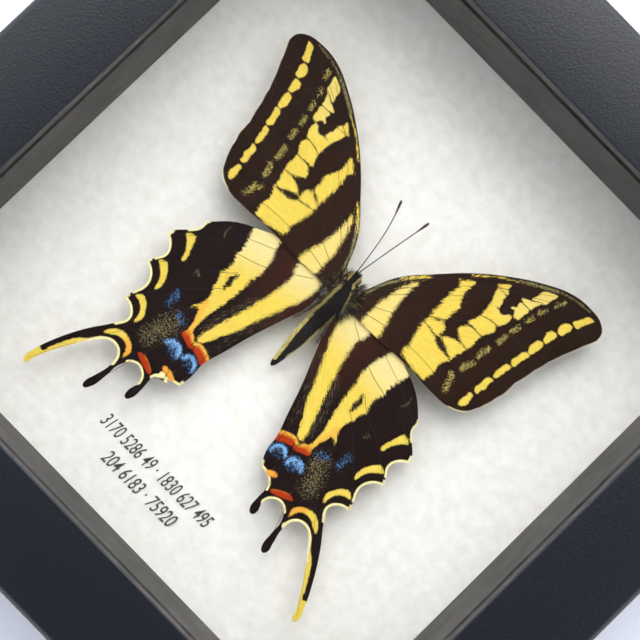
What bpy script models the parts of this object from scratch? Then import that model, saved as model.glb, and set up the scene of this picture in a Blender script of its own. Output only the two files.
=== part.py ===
"""A dried swallowtail butterfly in a square shadow-box frame.

The frame lies on its back: +Z points out of the glass, +Y towards the top rail and the
insect's head, +X to the right. The origin is the centre of the frame's back.
Sizes are in millimetres and MM turns them into metres.
"""

import math

import bmesh
import bpy
from mathutils import Matrix, Vector

MM = 0.001

# ---- frame moulding ------------------------------------------------------------------
OPENING = 124.2          # clear square inside the lip
FACE_WIDTH = 19.4        # face of the moulding, opening to outer edge
FRAME_DEPTH = 34.0       # back plane to front face
LIP_THICKNESS = 3.8      # lip that holds the glass
RABBET_WIDTH = 5.5       # how far the lip reaches over the glass
MITRE_GAP = 0.3
OUTER_EDGE_RADIUS = 1.4
LIP_EDGE_RADIUS = 0.35
BACK_EDGE_RADIUS = 0.5

# ---- layers in the rabbet, as heights above the back plane ---------------------------
SHEET_GAP = 0.3          # clearance of every sheet to the rabbet wall
GLASS = (28.0, 29.95)
SPACER = (10.3, 27.8)
PAPER = (9.4, 10.0)
FOAM = (4.3, 9.1)
PANEL = (1.9, 4.0)
SPACER_THICKNESS = 5.15
SPACER_SETBACK = 0.05    # spacer's inner face behind the lip's edge

# ---- points that hold the back in ----------------------------------------------------
TAB_HEIGHT = (1.15, 1.6)
TAB_LENGTH = 11.0
TAB_WIDTH = 8.0
TAB_BITE = 2.6           # how far a point enters the rail
TAB_SPACING = 64.0       # between the two points of one rail
TAB_CLEARANCE = 0.3
TAB_POINT_SHARE = 0.35   # width of the sharp end, of the full width
TAB_POINT_TAPER = 2.2    # length over which it widens
TAB_TAIL_SHARE = 0.5     # width of the blunt end, of the full width
TAB_TAIL_TAPER = 2.5     # length over which it narrows

# ---- hanger on the back panel --------------------------------------------------------
HANGER_SIZE = (42.0, 7.0)
HANGER_HEIGHT = (0.9, 1.6)
HANGER_TEETH = 9
HANGER_PITCH = 2.4       # from tooth to tooth
HANGER_TOOTH_DEPTH = 1.6
HANGER_Y = 52.0
HANGER_NAIL_SPACING = 34.0
NAIL_HEAD_RADIUS = 1.7
NAIL_SHANK_RADIUS = 0.5
NAIL_HOLE_RADIUS = 0.85
NAIL_DOME = 0.15         # bevel at the edge of the head
NAIL_HEIGHTS = (0.1, 0.6, 3.4)   # head bottom, head top, end of the shank
NAIL_RISE = 0.8          # nails above the plate's middle

# ---- insect --------------------------------------------------------------------------
FOREWING_HEIGHT = 15.2
HINDWING_HEIGHT = 14.6
WING_THICKNESS = 0.24
WING_DIHEDRAL_DEG = 1.0
FOREWING_HINGE = {"right": (2.50, 8.00), "left": (-2.22, 8.30)}
FOREWING_TURN_DEG = {"right": 0.0, "left": 3.22}
HINDWING_HINGE = {"right": (2.50, 3.00), "left": (-2.66, 3.34)}
HINDWING_TURN_DEG = {"right": 0.0, "left": 5.69}

# Wing outlines in mm from the insect's middle, as the right wings are spread.
# "corner" marks a point where the margin turns sharply.
FOREWING_OUTLINE = [
    (2.8, 9.0, "corner"), (5.9, 16.4), (10.4, 21.9), (16.0, 28.0), (22.0, 33.1), (28.0, 37.1),
    (33.5, 39.7), (38.3, 40.3), (42.2, 39.5), (43.7, 37.6), (42.6, 33.3), (40.6, 28.0),
    (39.0, 21.5), (38.3, 17.3), (38.2, 15.0), (37.2, 11.0), (35.6, 7.3), (32.3, 5.2),
    (27.5, 4.7), (20.0, 4.9), (12.0, 4.4), (2.9, 4.1, "corner"),
]
HINDWING_OUTLINE = [
    (2.9, 3.6, "corner"), (5.5, 7.2), (12.0, 8.2), (19.0, 4.9), (25.5, 2.3),
    (30.2, -1.6, "corner"), (30.5, -3.6), (32.4, -5.6), (34.1, -7.2),
    (34.7, -8.7, "corner"), (33.0, -10.2), (32.4, -12.2), (33.3, -13.8),
    (34.4, -15.6, "corner"), (32.2, -17.2), (31.4, -19.7), (32.4, -22.3),
    (33.1, -24.3, "corner"), (31.0, -25.0), (29.7, -27.0), (31.0, -29.4),
    (34.7, -34.1), (38.6, -40.2), (40.8, -44.6), (41.7, -47.4), (41.1, -48.1),
    (39.8, -45.8), (36.8, -41.0), (33.2, -36.3), (30.9, -33.7), (28.7, -32.9),
    (26.7, -34.0), (26.2, -36.6), (27.0, -40.2), (27.4, -42.0), (26.8, -42.9),
    (25.9, -42.3), (25.3, -39.0), (24.9, -35.6), (22.6, -33.2), (20.2, -34.0),
    (19.5, -35.7), (20.1, -38.2), (19.5, -39.1), (18.6, -38.6), (18.1, -35.8),
    (17.8, -32.6), (16.2, -31.2), (13.9, -30.8, "corner"), (12.5, -28.0), (11.9, -24.5),
    (11.2, -22.3, "corner"), (10.3, -20.0), (8.0, -13.6), (5.0, -6.5), (3.0, -1.5), (2.8, 1.5),
]
# How the left tails and hind lobe lie compared with the right ones: the stretch of margin
# between two x values, the y of its root, its length, and the shift of its tip.
LEFT_SWAY = {
    "long_tail": {"span": (27.6, 50.0), "root": -33.0, "length": 15.0, "shift": (-1.1, 0.6)},
    "middle_tail": {"span": (22.7, 27.6), "root": -35.0, "length": 8.0, "shift": (0.9, -0.8)},
    "short_tail": {"span": (17.7, 22.7), "root": -33.0, "length": 6.0, "shift": (0.1, -0.8)},
    "hind_lobe": {"span": (0.0, 17.7), "root": -24.0, "length": 6.8, "shift": (-1.2, -0.2)},
}

# Turned body pieces: (distance behind the piece's front, radius) in mm.
HEAD_CENTRE = (-0.45, 9.45, 15.0)
HEAD_RADII = (1.35, 1.55, 1.25)
EYE_OFFSET = (1.15, 0.25, 0.1)
EYE_RADIUS = 0.95
THORAX_FRONT = (-0.25, 7.6, 14.7)
THORAX_TURN_DEG = 5.0
THORAX_DROOP_DEG = 1.0
THORAX_PROFILE = [(0.0, 0.0), (0.25, 0.9), (1.2, 1.6), (2.6, 2.0), (4.4, 2.15), (6.2, 2.0),
                  (7.8, 1.75), (8.9, 1.45), (9.1, 0.0)]
ABDOMEN_FRONT = (0.45, -1.85, 14.5)
ABDOMEN_TURN_DEG = 0.5
ABDOMEN_DROOP_DEG = 4.0
ABDOMEN_PROFILE = [(0.0, 0.0), (0.2, 1.45), (1.2, 1.85), (3.2, 2.0), (6.0, 1.75), (8.6, 1.35),
                   (11.2, 1.0), (12.8, 0.6), (13.3, 0.0)]
BODY_STEPS = 20

ANTENNA_SHAFT_RADIUS = 0.15
ANTENNA_CLUB_RADIUS = 0.32
ANTENNA_CLUB_LENGTH = 2.6
ANTENNA_ROUTES = {
    "left": [(-0.95, 11.5, 15.6), (-1.45, 14.8, 16.0), (-2.05, 18.2, 16.3), (-2.75, 21.3, 16.5),
             (-3.75, 24.5, 16.6), (-5.0, 27.7, 16.6)],
    "right": [(-0.40, 11.5, 15.6), (0.05, 14.5, 16.0), (0.6, 18.0, 16.3), (1.15, 21.4, 16.5),
              (1.75, 25.0, 16.6), (2.3, 28.5, 16.6)],
}
ANTENNA_POINTS = 22

PIN_RADIUS = 0.3
PIN_CLEARANCE = 0.3
PIN_TOP = 14.2
PIN_BOTTOM = 6.0
PIN_XY = (0.25, 3.0)

HALF_OPENING = OPENING / 2
HALF_OUTER = HALF_OPENING + FACE_WIDTH
HALF_RABBET = HALF_OPENING + RABBET_WIDTH
HALF_SHEET = HALF_RABBET - SHEET_GAP
LIP_UNDERSIDE = FRAME_DEPTH - LIP_THICKNESS
SIDES = (("bottom", 0), ("right", 90), ("top", 180), ("left", 270))


# ---- scene helpers -------------------------------------------------------------------
def clear_scene():
    """Empty the scene of objects left from before."""
    for obj in list(bpy.data.objects):
        bpy.data.objects.remove(obj, do_unlink=True)


def new_collection(name):
    """Make a collection under the scene's root."""
    collection = bpy.data.collections.new(name)
    bpy.context.scene.collection.children.link(collection)
    return collection


def material(name, color, roughness, metallic=0.0, transmission=0.0):
    """Make a Principled material of one colour."""
    mat = bpy.data.materials.new(name)
    mat.use_nodes = True
    shader = mat.node_tree.nodes["Principled BSDF"]
    shader.inputs["Base Color"].default_value = (*color, 1.0)
    shader.inputs["Roughness"].default_value = roughness
    shader.inputs["Metallic"].default_value = metallic
    shader.inputs["Transmission Weight"].default_value = transmission
    return mat


def add_object(name, data, collection, mat=None):
    """Put mesh or curve data in a collection as a named object."""
    obj = bpy.data.objects.new(name, data)
    collection.objects.link(obj)
    if mat is not None:
        data.materials.clear()
        data.materials.append(mat)
    return obj


def box_mesh(name, size, centre=(0.0, 0.0, 0.0)):
    """A cuboid mesh of the given size and centre, both in mm."""
    bm = bmesh.new()
    bmesh.ops.create_cube(bm, size=1.0)
    bmesh.ops.scale(bm, vec=Vector(size) * MM, verts=bm.verts)
    bmesh.ops.translate(bm, vec=Vector(centre) * MM, verts=bm.verts)
    mesh = bpy.data.meshes.new(name)
    bm.to_mesh(mesh)
    bm.free()
    return mesh


def cylinder_mesh(name, radius, bottom, top, segments=16):
    """An upright closed cylinder between two heights, in mm."""
    bm = bmesh.new()
    bmesh.ops.create_cone(bm, cap_ends=True, segments=segments, radius1=radius * MM,
                          radius2=radius * MM, depth=(top - bottom) * MM)
    bmesh.ops.translate(bm, vec=(0.0, 0.0, (top + bottom) / 2 * MM), verts=bm.verts)
    mesh = bpy.data.meshes.new(name)
    bm.to_mesh(mesh)
    bm.free()
    return mesh


def outline_curve(name, outlines, half_thickness):
    """A filled flat curve of closed POLY outlines in mm, extruded both ways."""
    curve = bpy.data.curves.new(name, "CURVE")
    curve.dimensions = "2D"
    curve.fill_mode = "BOTH"
    curve.extrude = half_thickness * MM
    for points in outlines:
        spline = curve.splines.new("POLY")
        spline.points.add(len(points) - 1)
        for point, (x, y) in zip(spline.points, points):
            point.co = (x * MM, y * MM, 0.0, 1.0)
        spline.use_cyclic_u = True
    return curve


def circle_points(x, y, radius, count):
    """Points round a circle, in mm."""
    turns = (math.tau * step / count for step in range(count))
    return [(x + radius * math.cos(turn), y + radius * math.sin(turn)) for turn in turns]


def arc_points(x, y, radius, start_deg, end_deg, count=5):
    """Points along an arc, both ends included, in mm."""
    angles = (math.radians(start_deg + (end_deg - start_deg) * step / (count - 1))
              for step in range(count))
    return [(x + radius * math.cos(angle), y + radius * math.sin(angle)) for angle in angles]


def take_mesh(obj):
    """Replace an object by the welded mesh of its evaluated shape."""
    bpy.context.view_layer.update()
    evaluated = obj.evaluated_get(bpy.context.evaluated_depsgraph_get())
    mesh = bpy.data.meshes.new_from_object(evaluated)
    bm = bmesh.new()
    bm.from_mesh(mesh)
    bmesh.ops.remove_doubles(bm, verts=bm.verts, dist=1e-6)
    bm.to_mesh(mesh)
    bm.free()
    bpy.data.objects.remove(obj, do_unlink=True)
    return mesh


def cut(obj, cutter):
    """Subtract a cutter from an object with an exact Boolean."""
    modifier = obj.modifiers.new(f"cut_{cutter.name}", "BOOLEAN")
    modifier.operation = "DIFFERENCE"
    modifier.solver = "EXACT"
    modifier.object = cutter


def add_cutter(name, mesh, location=(0.0, 0.0, 0.0)):
    """Put a cutter mesh in the cutters collection, hidden from renders."""
    obj = add_object(name, mesh, bpy.data.collections["cutters"])
    obj.location = Vector(location) * MM
    obj.hide_render = True
    obj.display_type = "WIRE"
    return obj


# ---- frame ---------------------------------------------------------------------------
def moulding_profile():
    """Cross-section of the rail: distance from the frame's middle, height above the back."""
    outer, back, lip = OUTER_EDGE_RADIUS, BACK_EDGE_RADIUS, LIP_EDGE_RADIUS
    points = [(HALF_RABBET, 0.0)]
    points += arc_points(HALF_OUTER - back, back, back, -90, 0, 4)
    points += arc_points(HALF_OUTER - outer, FRAME_DEPTH - outer, outer, 0, 90, 6)
    points += arc_points(HALF_OPENING + lip, FRAME_DEPTH - lip, lip, 90, 180, 4)
    points += [(HALF_OPENING, LIP_UNDERSIDE), (HALF_RABBET, LIP_UNDERSIDE)]
    return points


def mitre(bm, direction):
    """Cut one end of the bottom rail at 45 degrees, leaving half the mitre's gap."""
    normal = Vector((direction, 1.0, 0.0)).normalized()
    parts = bm.verts[:] + bm.edges[:] + bm.faces[:]
    result = bmesh.ops.bisect_plane(bm, geom=parts, dist=1e-7, plane_no=normal,
                                    plane_co=normal * (-MITRE_GAP / 2 * MM), clear_outer=True)
    edges = [item for item in result["geom_cut"] if isinstance(item, bmesh.types.BMEdge)]
    bmesh.ops.edgeloop_fill(bm, edges=edges)


def rail_mesh(collection):
    """The bottom rail: profile swept along X, mitred, with two slots for the points."""
    curve = outline_curve("rail_section", [moulding_profile()], HALF_OUTER + 1.0)
    mesh = take_mesh(add_object("rail_section", curve, collection))
    bm = bmesh.new()
    bm.from_mesh(mesh)
    lay_down = Matrix(((0.0, 0.0, -1.0), (-1.0, 0.0, 0.0), (0.0, 1.0, 0.0))).to_4x4()
    bmesh.ops.transform(bm, matrix=lay_down, verts=bm.verts)
    mitre(bm, 1.0)
    mitre(bm, -1.0)
    bmesh.ops.recalc_face_normals(bm, faces=bm.faces)
    bm.to_mesh(mesh)
    bm.free()
    blank = add_object("rail_blank", mesh, collection)
    reach = TAB_BITE + TAB_CLEARANCE
    slot_size = (TAB_WIDTH + 2 * TAB_CLEARANCE, reach + 1.0,
                 TAB_HEIGHT[1] - TAB_HEIGHT[0] + 2 * TAB_CLEARANCE)
    slot_centre = (0.0, -(HALF_RABBET + reach / 2 - 0.5), sum(TAB_HEIGHT) / 2)
    slots = []
    for end in (-1, 1):
        slot = add_cutter(f"rail_slot_{end}", box_mesh("rail_slot", slot_size, slot_centre),
                          (end * TAB_SPACING / 2, 0.0, 0.0))
        cut(blank, slot)
        slots.append(slot)
    finished = take_mesh(blank)
    for slot in slots:
        bpy.data.objects.remove(slot, do_unlink=True)
    return finished


def build_rails(collection):
    """Four mitred rails, wrapped in black leather-grain vinyl."""
    mat = material("vinyl_wrapped_wood", (0.022, 0.023, 0.027), 0.5)
    mesh = rail_mesh(collection)
    for side, turn in SIDES:
        rail = add_object(f"frame_rail_{side}", mesh, collection, mat)
        rail.rotation_euler = (0.0, 0.0, math.radians(turn))
        rail.data.set_sharp_from_angle(angle=math.radians(35))


def build_sheet(name, heights, mat, collection):
    """A square sheet that fills the rabbet between two heights."""
    size = (2 * HALF_SHEET, 2 * HALF_SHEET, heights[1] - heights[0])
    return add_object(name, box_mesh(name, size, (0.0, 0.0, sum(heights) / 2)), collection, mat)


def build_spacers(collection):
    """Four stained wood strips: two full length, two butted between them."""
    mat = material("stained_wood", (0.07, 0.068, 0.062), 0.6)
    inner = HALF_OPENING + SPACER_SETBACK
    offset = inner + SPACER_THICKNESS / 2
    height = SPACER[1] - SPACER[0]
    middle = sum(SPACER) / 2
    long_size = (2 * (inner + SPACER_THICKNESS), SPACER_THICKNESS, height)
    short_size = (SPACER_THICKNESS, 2 * (inner - SHEET_GAP), height)
    for side, sign in (("bottom", -1), ("top", 1)):
        name = f"spacer_{side}"
        add_object(name, box_mesh(name, long_size, (0.0, sign * offset, middle)), collection, mat)
    for side, sign in (("left", -1), ("right", 1)):
        name = f"spacer_{side}"
        add_object(name, box_mesh(name, short_size, (sign * offset, 0.0, middle)), collection, mat)


def tab_outline():
    """A flexible point seen from behind: blunt end on the panel, sharp end in the rail."""
    half = TAB_WIDTH / 2
    tip = -(HALF_RABBET + TAB_BITE)
    tail = tip + TAB_LENGTH
    point, blunt = half * TAB_POINT_SHARE, half * TAB_TAIL_SHARE
    wide, narrow = tip + TAB_POINT_TAPER, tail - TAB_TAIL_TAPER
    return [(-point, tip), (point, tip), (half, wide), (half, narrow),
            (blunt, tail), (-blunt, tail), (-half, narrow), (-half, wide)]


def build_tabs(collection):
    """Eight sheet-steel points, two to a rail, that hold the back panel in."""
    mat = material("spring_steel", (0.45, 0.45, 0.44), 0.35, metallic=1.0)
    curve = outline_curve("retaining_point", [tab_outline()], (TAB_HEIGHT[1] - TAB_HEIGHT[0]) / 2)
    for side, turn in SIDES:
        spin = Matrix.Rotation(math.radians(turn), 4, "Z")
        for number, end in ((1, -1), (2, 1)):
            tab = add_object(f"retaining_point_{side}_{number}", curve, collection, mat)
            place = Vector((end * TAB_SPACING / 2, 0.0, sum(TAB_HEIGHT) / 2)) * MM
            tab.location = spin @ place
            tab.rotation_euler = (0.0, 0.0, math.radians(turn))


def hanger_outline():
    """The hanger's plate, with teeth along its lower edge."""
    half_w, half_h = HANGER_SIZE[0] / 2, HANGER_SIZE[1] / 2
    start = -HANGER_TEETH * HANGER_PITCH / 2
    points = [(half_w, -half_h), (half_w, half_h), (-half_w, half_h), (-half_w, -half_h)]
    for tooth in range(HANGER_TEETH):
        left = start + tooth * HANGER_PITCH
        points += [(left, -half_h), (left + HANGER_PITCH / 2, -half_h + HANGER_TOOTH_DEPTH)]
    points.append((start + HANGER_TEETH * HANGER_PITCH, -half_h))
    return points


def build_nail(collection, mat, name):
    """A turned nail: flat head at the bottom, shank up into the panel."""
    bottom, head_top, shank_top = NAIL_HEIGHTS
    profile = [(0.0, shank_top), (NAIL_SHANK_RADIUS, shank_top), (NAIL_SHANK_RADIUS, head_top),
               (NAIL_HEAD_RADIUS, head_top), (NAIL_HEAD_RADIUS, bottom + NAIL_DOME),
               (NAIL_HEAD_RADIUS - 2 * NAIL_DOME, bottom), (0.0, bottom)]
    return turned(name, profile, collection, mat, 16)


def build_hanger(panel, collection):
    """A sawtooth hanger and its two nails, inside the back's recess."""
    steel = material("plated_steel", (0.55, 0.54, 0.5), 0.3, metallic=1.0)
    half = (HANGER_HEIGHT[1] - HANGER_HEIGHT[0]) / 2
    nails_x = (-HANGER_NAIL_SPACING / 2, HANGER_NAIL_SPACING / 2)
    holes = [circle_points(x, NAIL_RISE, NAIL_HOLE_RADIUS, 16) for x in nails_x]
    hanger = add_object("sawtooth_hanger", outline_curve("sawtooth_hanger",
                        [hanger_outline()] + holes, half), collection, steel)
    hanger.location = Vector((0.0, HANGER_Y, sum(HANGER_HEIGHT) / 2)) * MM
    for side, x in zip(("left", "right"), nails_x):
        nail = build_nail(collection, steel, f"hanger_nail_{side}")
        nail.location = Vector((x, HANGER_Y + NAIL_RISE, 0.0)) * MM
        hole = add_cutter(f"nail_hole_{side}", cylinder_mesh("nail_hole", NAIL_HOLE_RADIUS,
                          PANEL[0] - 1.0, PANEL[1] + 1.0), (x, HANGER_Y + NAIL_RISE, 0.0))
        cut(panel, hole)


# ---- insect --------------------------------------------------------------------------
def turned(name, profile, collection, mat, steps=BODY_STEPS):
    """Turn a profile of (radius, height) points, in mm, top to bottom, about Z."""
    bm = bmesh.new()
    verts = [bm.verts.new((radius * MM, 0.0, height * MM)) for radius, height in profile]
    for first, second in zip(verts, verts[1:]):
        bm.edges.new((first, second))
    mesh = bpy.data.meshes.new(name)
    bm.to_mesh(mesh)
    bm.free()
    obj = add_object(name, mesh, collection, mat)
    screw = obj.modifiers.new("turn", "SCREW")
    screw.axis = "Z"
    screw.steps = steps
    screw.render_steps = steps
    screw.use_merge_vertices = True
    screw.merge_threshold = 1e-5
    screw.use_smooth_shade = True
    return obj


def body_piece(name, profile, front, turn_deg, droop_deg, mat, collection):
    """A turned body piece whose axis runs back from its front point."""
    points = [(radius, -distance) for distance, radius in profile]
    obj = turned(name, points, collection, mat)
    obj.location = Vector(front) * MM
    obj.rotation_euler = (math.radians(droop_deg - 90.0), 0.0, math.radians(turn_deg))
    return obj


def ellipsoid_mesh(name, radii, segments=20, rings=12):
    """A sphere mesh stretched to three radii, in mm."""
    bm = bmesh.new()
    bmesh.ops.create_uvsphere(bm, u_segments=segments, v_segments=rings, radius=1.0)
    bmesh.ops.scale(bm, vec=Vector(radii) * MM, verts=bm.verts)
    mesh = bpy.data.meshes.new(name)
    bm.to_mesh(mesh)
    bm.free()
    mesh.shade_smooth()
    return mesh


def build_head(collection, mat):
    """The head with its two compound eyes, as one solid."""
    head = add_object("head", ellipsoid_mesh("head", HEAD_RADII), collection, mat)
    head.location = Vector(HEAD_CENTRE) * MM
    for side, sign in (("left", -1), ("right", 1)):
        eye = add_cutter(f"eye_{side}", ellipsoid_mesh("eye", (EYE_RADIUS,) * 3, 16, 10))
        offset = Vector((sign * EYE_OFFSET[0], EYE_OFFSET[1], EYE_OFFSET[2]))
        eye.location = (Vector(HEAD_CENTRE) + offset) * MM
        join = head.modifiers.new(f"join_eye_{side}", "BOOLEAN")
        join.operation = "UNION"
        join.solver = "EXACT"
        join.object = eye


def build_body(collection):
    """Head, thorax and abdomen, and the pin that carries them."""
    mat = material("black_scaled_cuticle", (0.02, 0.018, 0.016), 0.7)
    build_head(collection, mat)
    thorax = body_piece("thorax", THORAX_PROFILE, THORAX_FRONT, THORAX_TURN_DEG,
                        THORAX_DROOP_DEG, mat, collection)
    body_piece("abdomen", ABDOMEN_PROFILE, ABDOMEN_FRONT, ABDOMEN_TURN_DEG,
               ABDOMEN_DROOP_DEG, mat, collection)
    steel = material("pin_steel", (0.3, 0.3, 0.31), 0.3, metallic=1.0)
    pin = add_object("mounting_pin", cylinder_mesh("mounting_pin", PIN_RADIUS, PIN_BOTTOM,
                     PIN_TOP), collection, steel)
    pin.location = (PIN_XY[0] * MM, PIN_XY[1] * MM, 0.0)
    return thorax


def sway(x, y, side):
    """Shift a point of a left tail or lobe, growing from its root to its tip."""
    if side == "left":
        for part in LEFT_SWAY.values():
            low, high = part["span"]
            if low < x <= high and y < part["root"]:
                share = ((part["root"] - y) / part["length"]) ** 2
                return x + share * part["shift"][0], y + share * part["shift"][1]
    return x, y


def wing_curve(name, outline, side, root):
    """The filled outline of one wing, about its hinge."""
    mirror = 1.0 if side == "right" else -1.0
    curve = bpy.data.curves.new(name, "CURVE")
    curve.dimensions = "2D"
    curve.fill_mode = "BOTH"
    curve.resolution_u = 4
    curve.render_resolution_u = 0
    curve.extrude = WING_THICKNESS / 2 * MM
    spline = curve.splines.new("BEZIER")
    spline.bezier_points.add(len(outline) - 1)
    for point, (x, y, *kind) in zip(spline.bezier_points, outline):
        x, y = sway(x, y, side)
        handle = "VECTOR" if kind else "AUTO"
        point.co = (mirror * (x - root[0]) * MM, (y - root[1]) * MM, 0.0)
        point.handle_left_type = handle
        point.handle_right_type = handle
    spline.use_cyclic_u = True
    return curve


def build_wings(collection):
    """Two forewings over two hindwings, spread flat with a slight upward tilt."""
    mat = material("wing_membrane", (0.75, 0.6, 0.12), 0.6)
    pairs = (("forewing", FOREWING_OUTLINE, FOREWING_HINGE, FOREWING_TURN_DEG, FOREWING_HEIGHT),
             ("hindwing", HINDWING_OUTLINE, HINDWING_HINGE, HINDWING_TURN_DEG, HINDWING_HEIGHT))
    for kind, outline, hinges, turns, height in pairs:
        for side, lift in (("left", 1.0), ("right", -1.0)):
            name = f"{kind}_{side}"
            wing = add_object(name, wing_curve(name, outline, side, hinges["right"]),
                              collection, mat)
            wing.location = Vector((*hinges[side], height)) * MM
            wing.rotation_euler = (0.0, math.radians(lift * WING_DIHEDRAL_DEG),
                                   math.radians(turns[side]))


def route_point(route, position):
    """A point on the smooth curve through the route's points, position from 0 to 1."""
    scaled = position * (len(route) - 1)
    index = min(int(scaled), len(route) - 2)
    local = scaled - index
    before = route[max(index - 1, 0)]
    start, end = route[index], route[index + 1]
    after = route[min(index + 2, len(route) - 1)]
    result = []
    for p0, p1, p2, p3 in zip(before, start, end, after):
        result.append(0.5 * (2 * p1 + (p2 - p0) * local
                             + (2 * p0 - 5 * p1 + 4 * p2 - p3) * local ** 2
                             + (3 * p1 - p0 - 3 * p2 + p3) * local ** 3))
    return Vector(result)


def build_antennae(collection):
    """Two thin antennae that thicken into clubs."""
    mat = material("antenna_cuticle", (0.03, 0.028, 0.026), 0.55)
    for side, route in ANTENNA_ROUTES.items():
        name = f"antenna_{side}"
        points = [route_point(route, step / (ANTENNA_POINTS - 1)) for step in range(ANTENNA_POINTS)]
        curve = bpy.data.curves.new(name, "CURVE")
        curve.dimensions = "3D"
        curve.bevel_depth = ANTENNA_SHAFT_RADIUS * MM
        curve.bevel_resolution = 2
        curve.use_fill_caps = True
        curve.render_resolution_u = 0
        spline = curve.splines.new("POLY")
        spline.points.add(ANTENNA_POINTS - 1)
        for point, place in zip(spline.points, points):
            from_tip = (points[-1] - place).length
            swell = max(0.0, 1.0 - from_tip / ANTENNA_CLUB_LENGTH) ** 0.5
            point.co = (*(place * MM), 1.0)
            point.radius = 1.0 + swell * (ANTENNA_CLUB_RADIUS / ANTENNA_SHAFT_RADIUS - 1.0)
        add_object(name, curve, collection, mat)


def main():
    """Build the whole specimen."""
    clear_scene()
    collection = new_collection("framed_butterfly_specimen")
    cutters = new_collection("cutters")
    cutters.hide_render = True

    build_rails(collection)
    glass = material("picture_glass", (0.95, 0.98, 0.97), 0.03, transmission=1.0)
    build_sheet("glass_pane", GLASS, glass, collection)
    build_spacers(collection)
    paper = build_sheet("backing_paper", PAPER,
                        material("fibrous_paper", (0.83, 0.82, 0.79), 0.9), collection)
    foam = build_sheet("foam_board", FOAM,
                       material("foam_board", (0.88, 0.88, 0.86), 0.8), collection)
    panel = build_sheet("back_panel", PANEL,
                        material("hardboard", (0.20, 0.12, 0.07), 0.75), collection)
    build_tabs(collection)
    build_hanger(panel, collection)

    thorax = build_body(collection)
    build_wings(collection)
    build_antennae(collection)
    bore = add_cutter("pin_bore", cylinder_mesh("pin_bore", PIN_RADIUS + PIN_CLEARANCE,
                      PIN_BOTTOM - PIN_CLEARANCE, PIN_TOP + PIN_CLEARANCE), (*PIN_XY, 0.0))
    for piece in (thorax, paper, foam):
        cut(piece, bore)


main()
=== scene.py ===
"""The looks of a dried swallowtail butterfly in a square shadow-box frame.

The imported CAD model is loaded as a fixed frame, and every piece here is placed from it.
Lengths are in millimetres unless a name says otherwise; MM turns them into metres.
"""

import logging
import math
from dataclasses import dataclass, field
from enum import Enum
from random import Random

import bmesh
import bpy
import numpy as np
from mathutils import Matrix, Vector


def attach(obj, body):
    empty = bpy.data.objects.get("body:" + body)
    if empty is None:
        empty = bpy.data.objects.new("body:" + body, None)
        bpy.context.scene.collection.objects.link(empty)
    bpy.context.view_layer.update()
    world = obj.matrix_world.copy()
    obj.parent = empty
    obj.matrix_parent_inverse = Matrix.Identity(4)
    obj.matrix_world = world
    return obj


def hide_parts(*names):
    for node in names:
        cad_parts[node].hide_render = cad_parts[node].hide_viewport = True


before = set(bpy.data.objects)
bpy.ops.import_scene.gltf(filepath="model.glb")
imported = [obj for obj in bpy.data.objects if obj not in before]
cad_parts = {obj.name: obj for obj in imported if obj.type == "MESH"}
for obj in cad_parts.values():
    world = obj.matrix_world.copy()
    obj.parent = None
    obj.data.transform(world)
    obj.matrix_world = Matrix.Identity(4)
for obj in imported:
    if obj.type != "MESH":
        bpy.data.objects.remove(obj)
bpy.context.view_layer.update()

MM = 0.001
LOG = logging.getLogger("framed_butterfly")
Point = tuple[float, float]
Outline = tuple[Point, ...]


# ---- shared helpers ------------------------------------------------------------------
def linear(hex_code: str) -> tuple[float, float, float, float]:
    """Turn an sRGB hex colour into linear RGBA.

    Args:
        hex_code: six hex digits, such as "f4f3ee".

    Returns:
        The colour's linear red, green and blue, with an alpha of 1.
    """
    channels = []
    for start in (0, 2, 4):
        value = int(hex_code[start:start + 2], 16) / 255
        channels.append(value / 12.92 if value <= 0.04045 else ((value + 0.055) / 1.055) ** 2.4)
    return (*channels, 1.0)


def add_node(tree: bpy.types.NodeTree, kind: str, inputs: dict | None = None,
             **settings: object) -> bpy.types.Node:
    """Add a shader node, with its settings and its links.

    Args:
        tree: the material's or world's node tree.
        kind: the node's type name.
        inputs: socket names, each with a value or the output socket that feeds it.
        settings: the node's own properties.

    Returns:
        The new node.
    """
    node = tree.nodes.new(kind)
    for name, value in settings.items():
        setattr(node, name, value)
    for name, value in (inputs or {}).items():
        if isinstance(value, bpy.types.NodeSocket):
            tree.links.new(value, node.inputs[name])
        else:
            node.inputs[name].default_value = value
    return node


def new_material(name: str, **values: object) -> tuple[bpy.types.Material, bpy.types.NodeTree,
                                                       bpy.types.Node]:
    """Make a material with a Principled shader.

    Args:
        name: the material's name.
        values: shader inputs, with underscores for spaces in their names.

    Returns:
        The material, its node tree and its shader node.
    """
    mat = bpy.data.materials.new(name)
    mat.use_nodes = True
    shader = mat.node_tree.nodes["Principled BSDF"]
    for socket, value in values.items():
        shader.inputs[socket.replace("_", " ")].default_value = value
    return mat, mat.node_tree, shader


def millimetres(tree: bpy.types.NodeTree, scale: tuple[float, float, float] = (1.0, 1.0, 1.0),
                turn_deg: float = 0.0) -> bpy.types.NodeSocket:
    """Object coordinates in millimetres.

    Args:
        tree: the material's node tree.
        scale: stretch of the pattern along each axis.
        turn_deg: turn of the pattern about Z.

    Returns:
        The vector socket.
    """
    place = add_node(tree, "ShaderNodeTexCoord").outputs["Object"]
    size = tuple(factor / MM for factor in scale)
    return add_node(tree, "ShaderNodeMapping", {"Vector": place, "Scale": size,
                    "Rotation": (0.0, 0.0, math.radians(turn_deg))}).outputs["Vector"]


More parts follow.
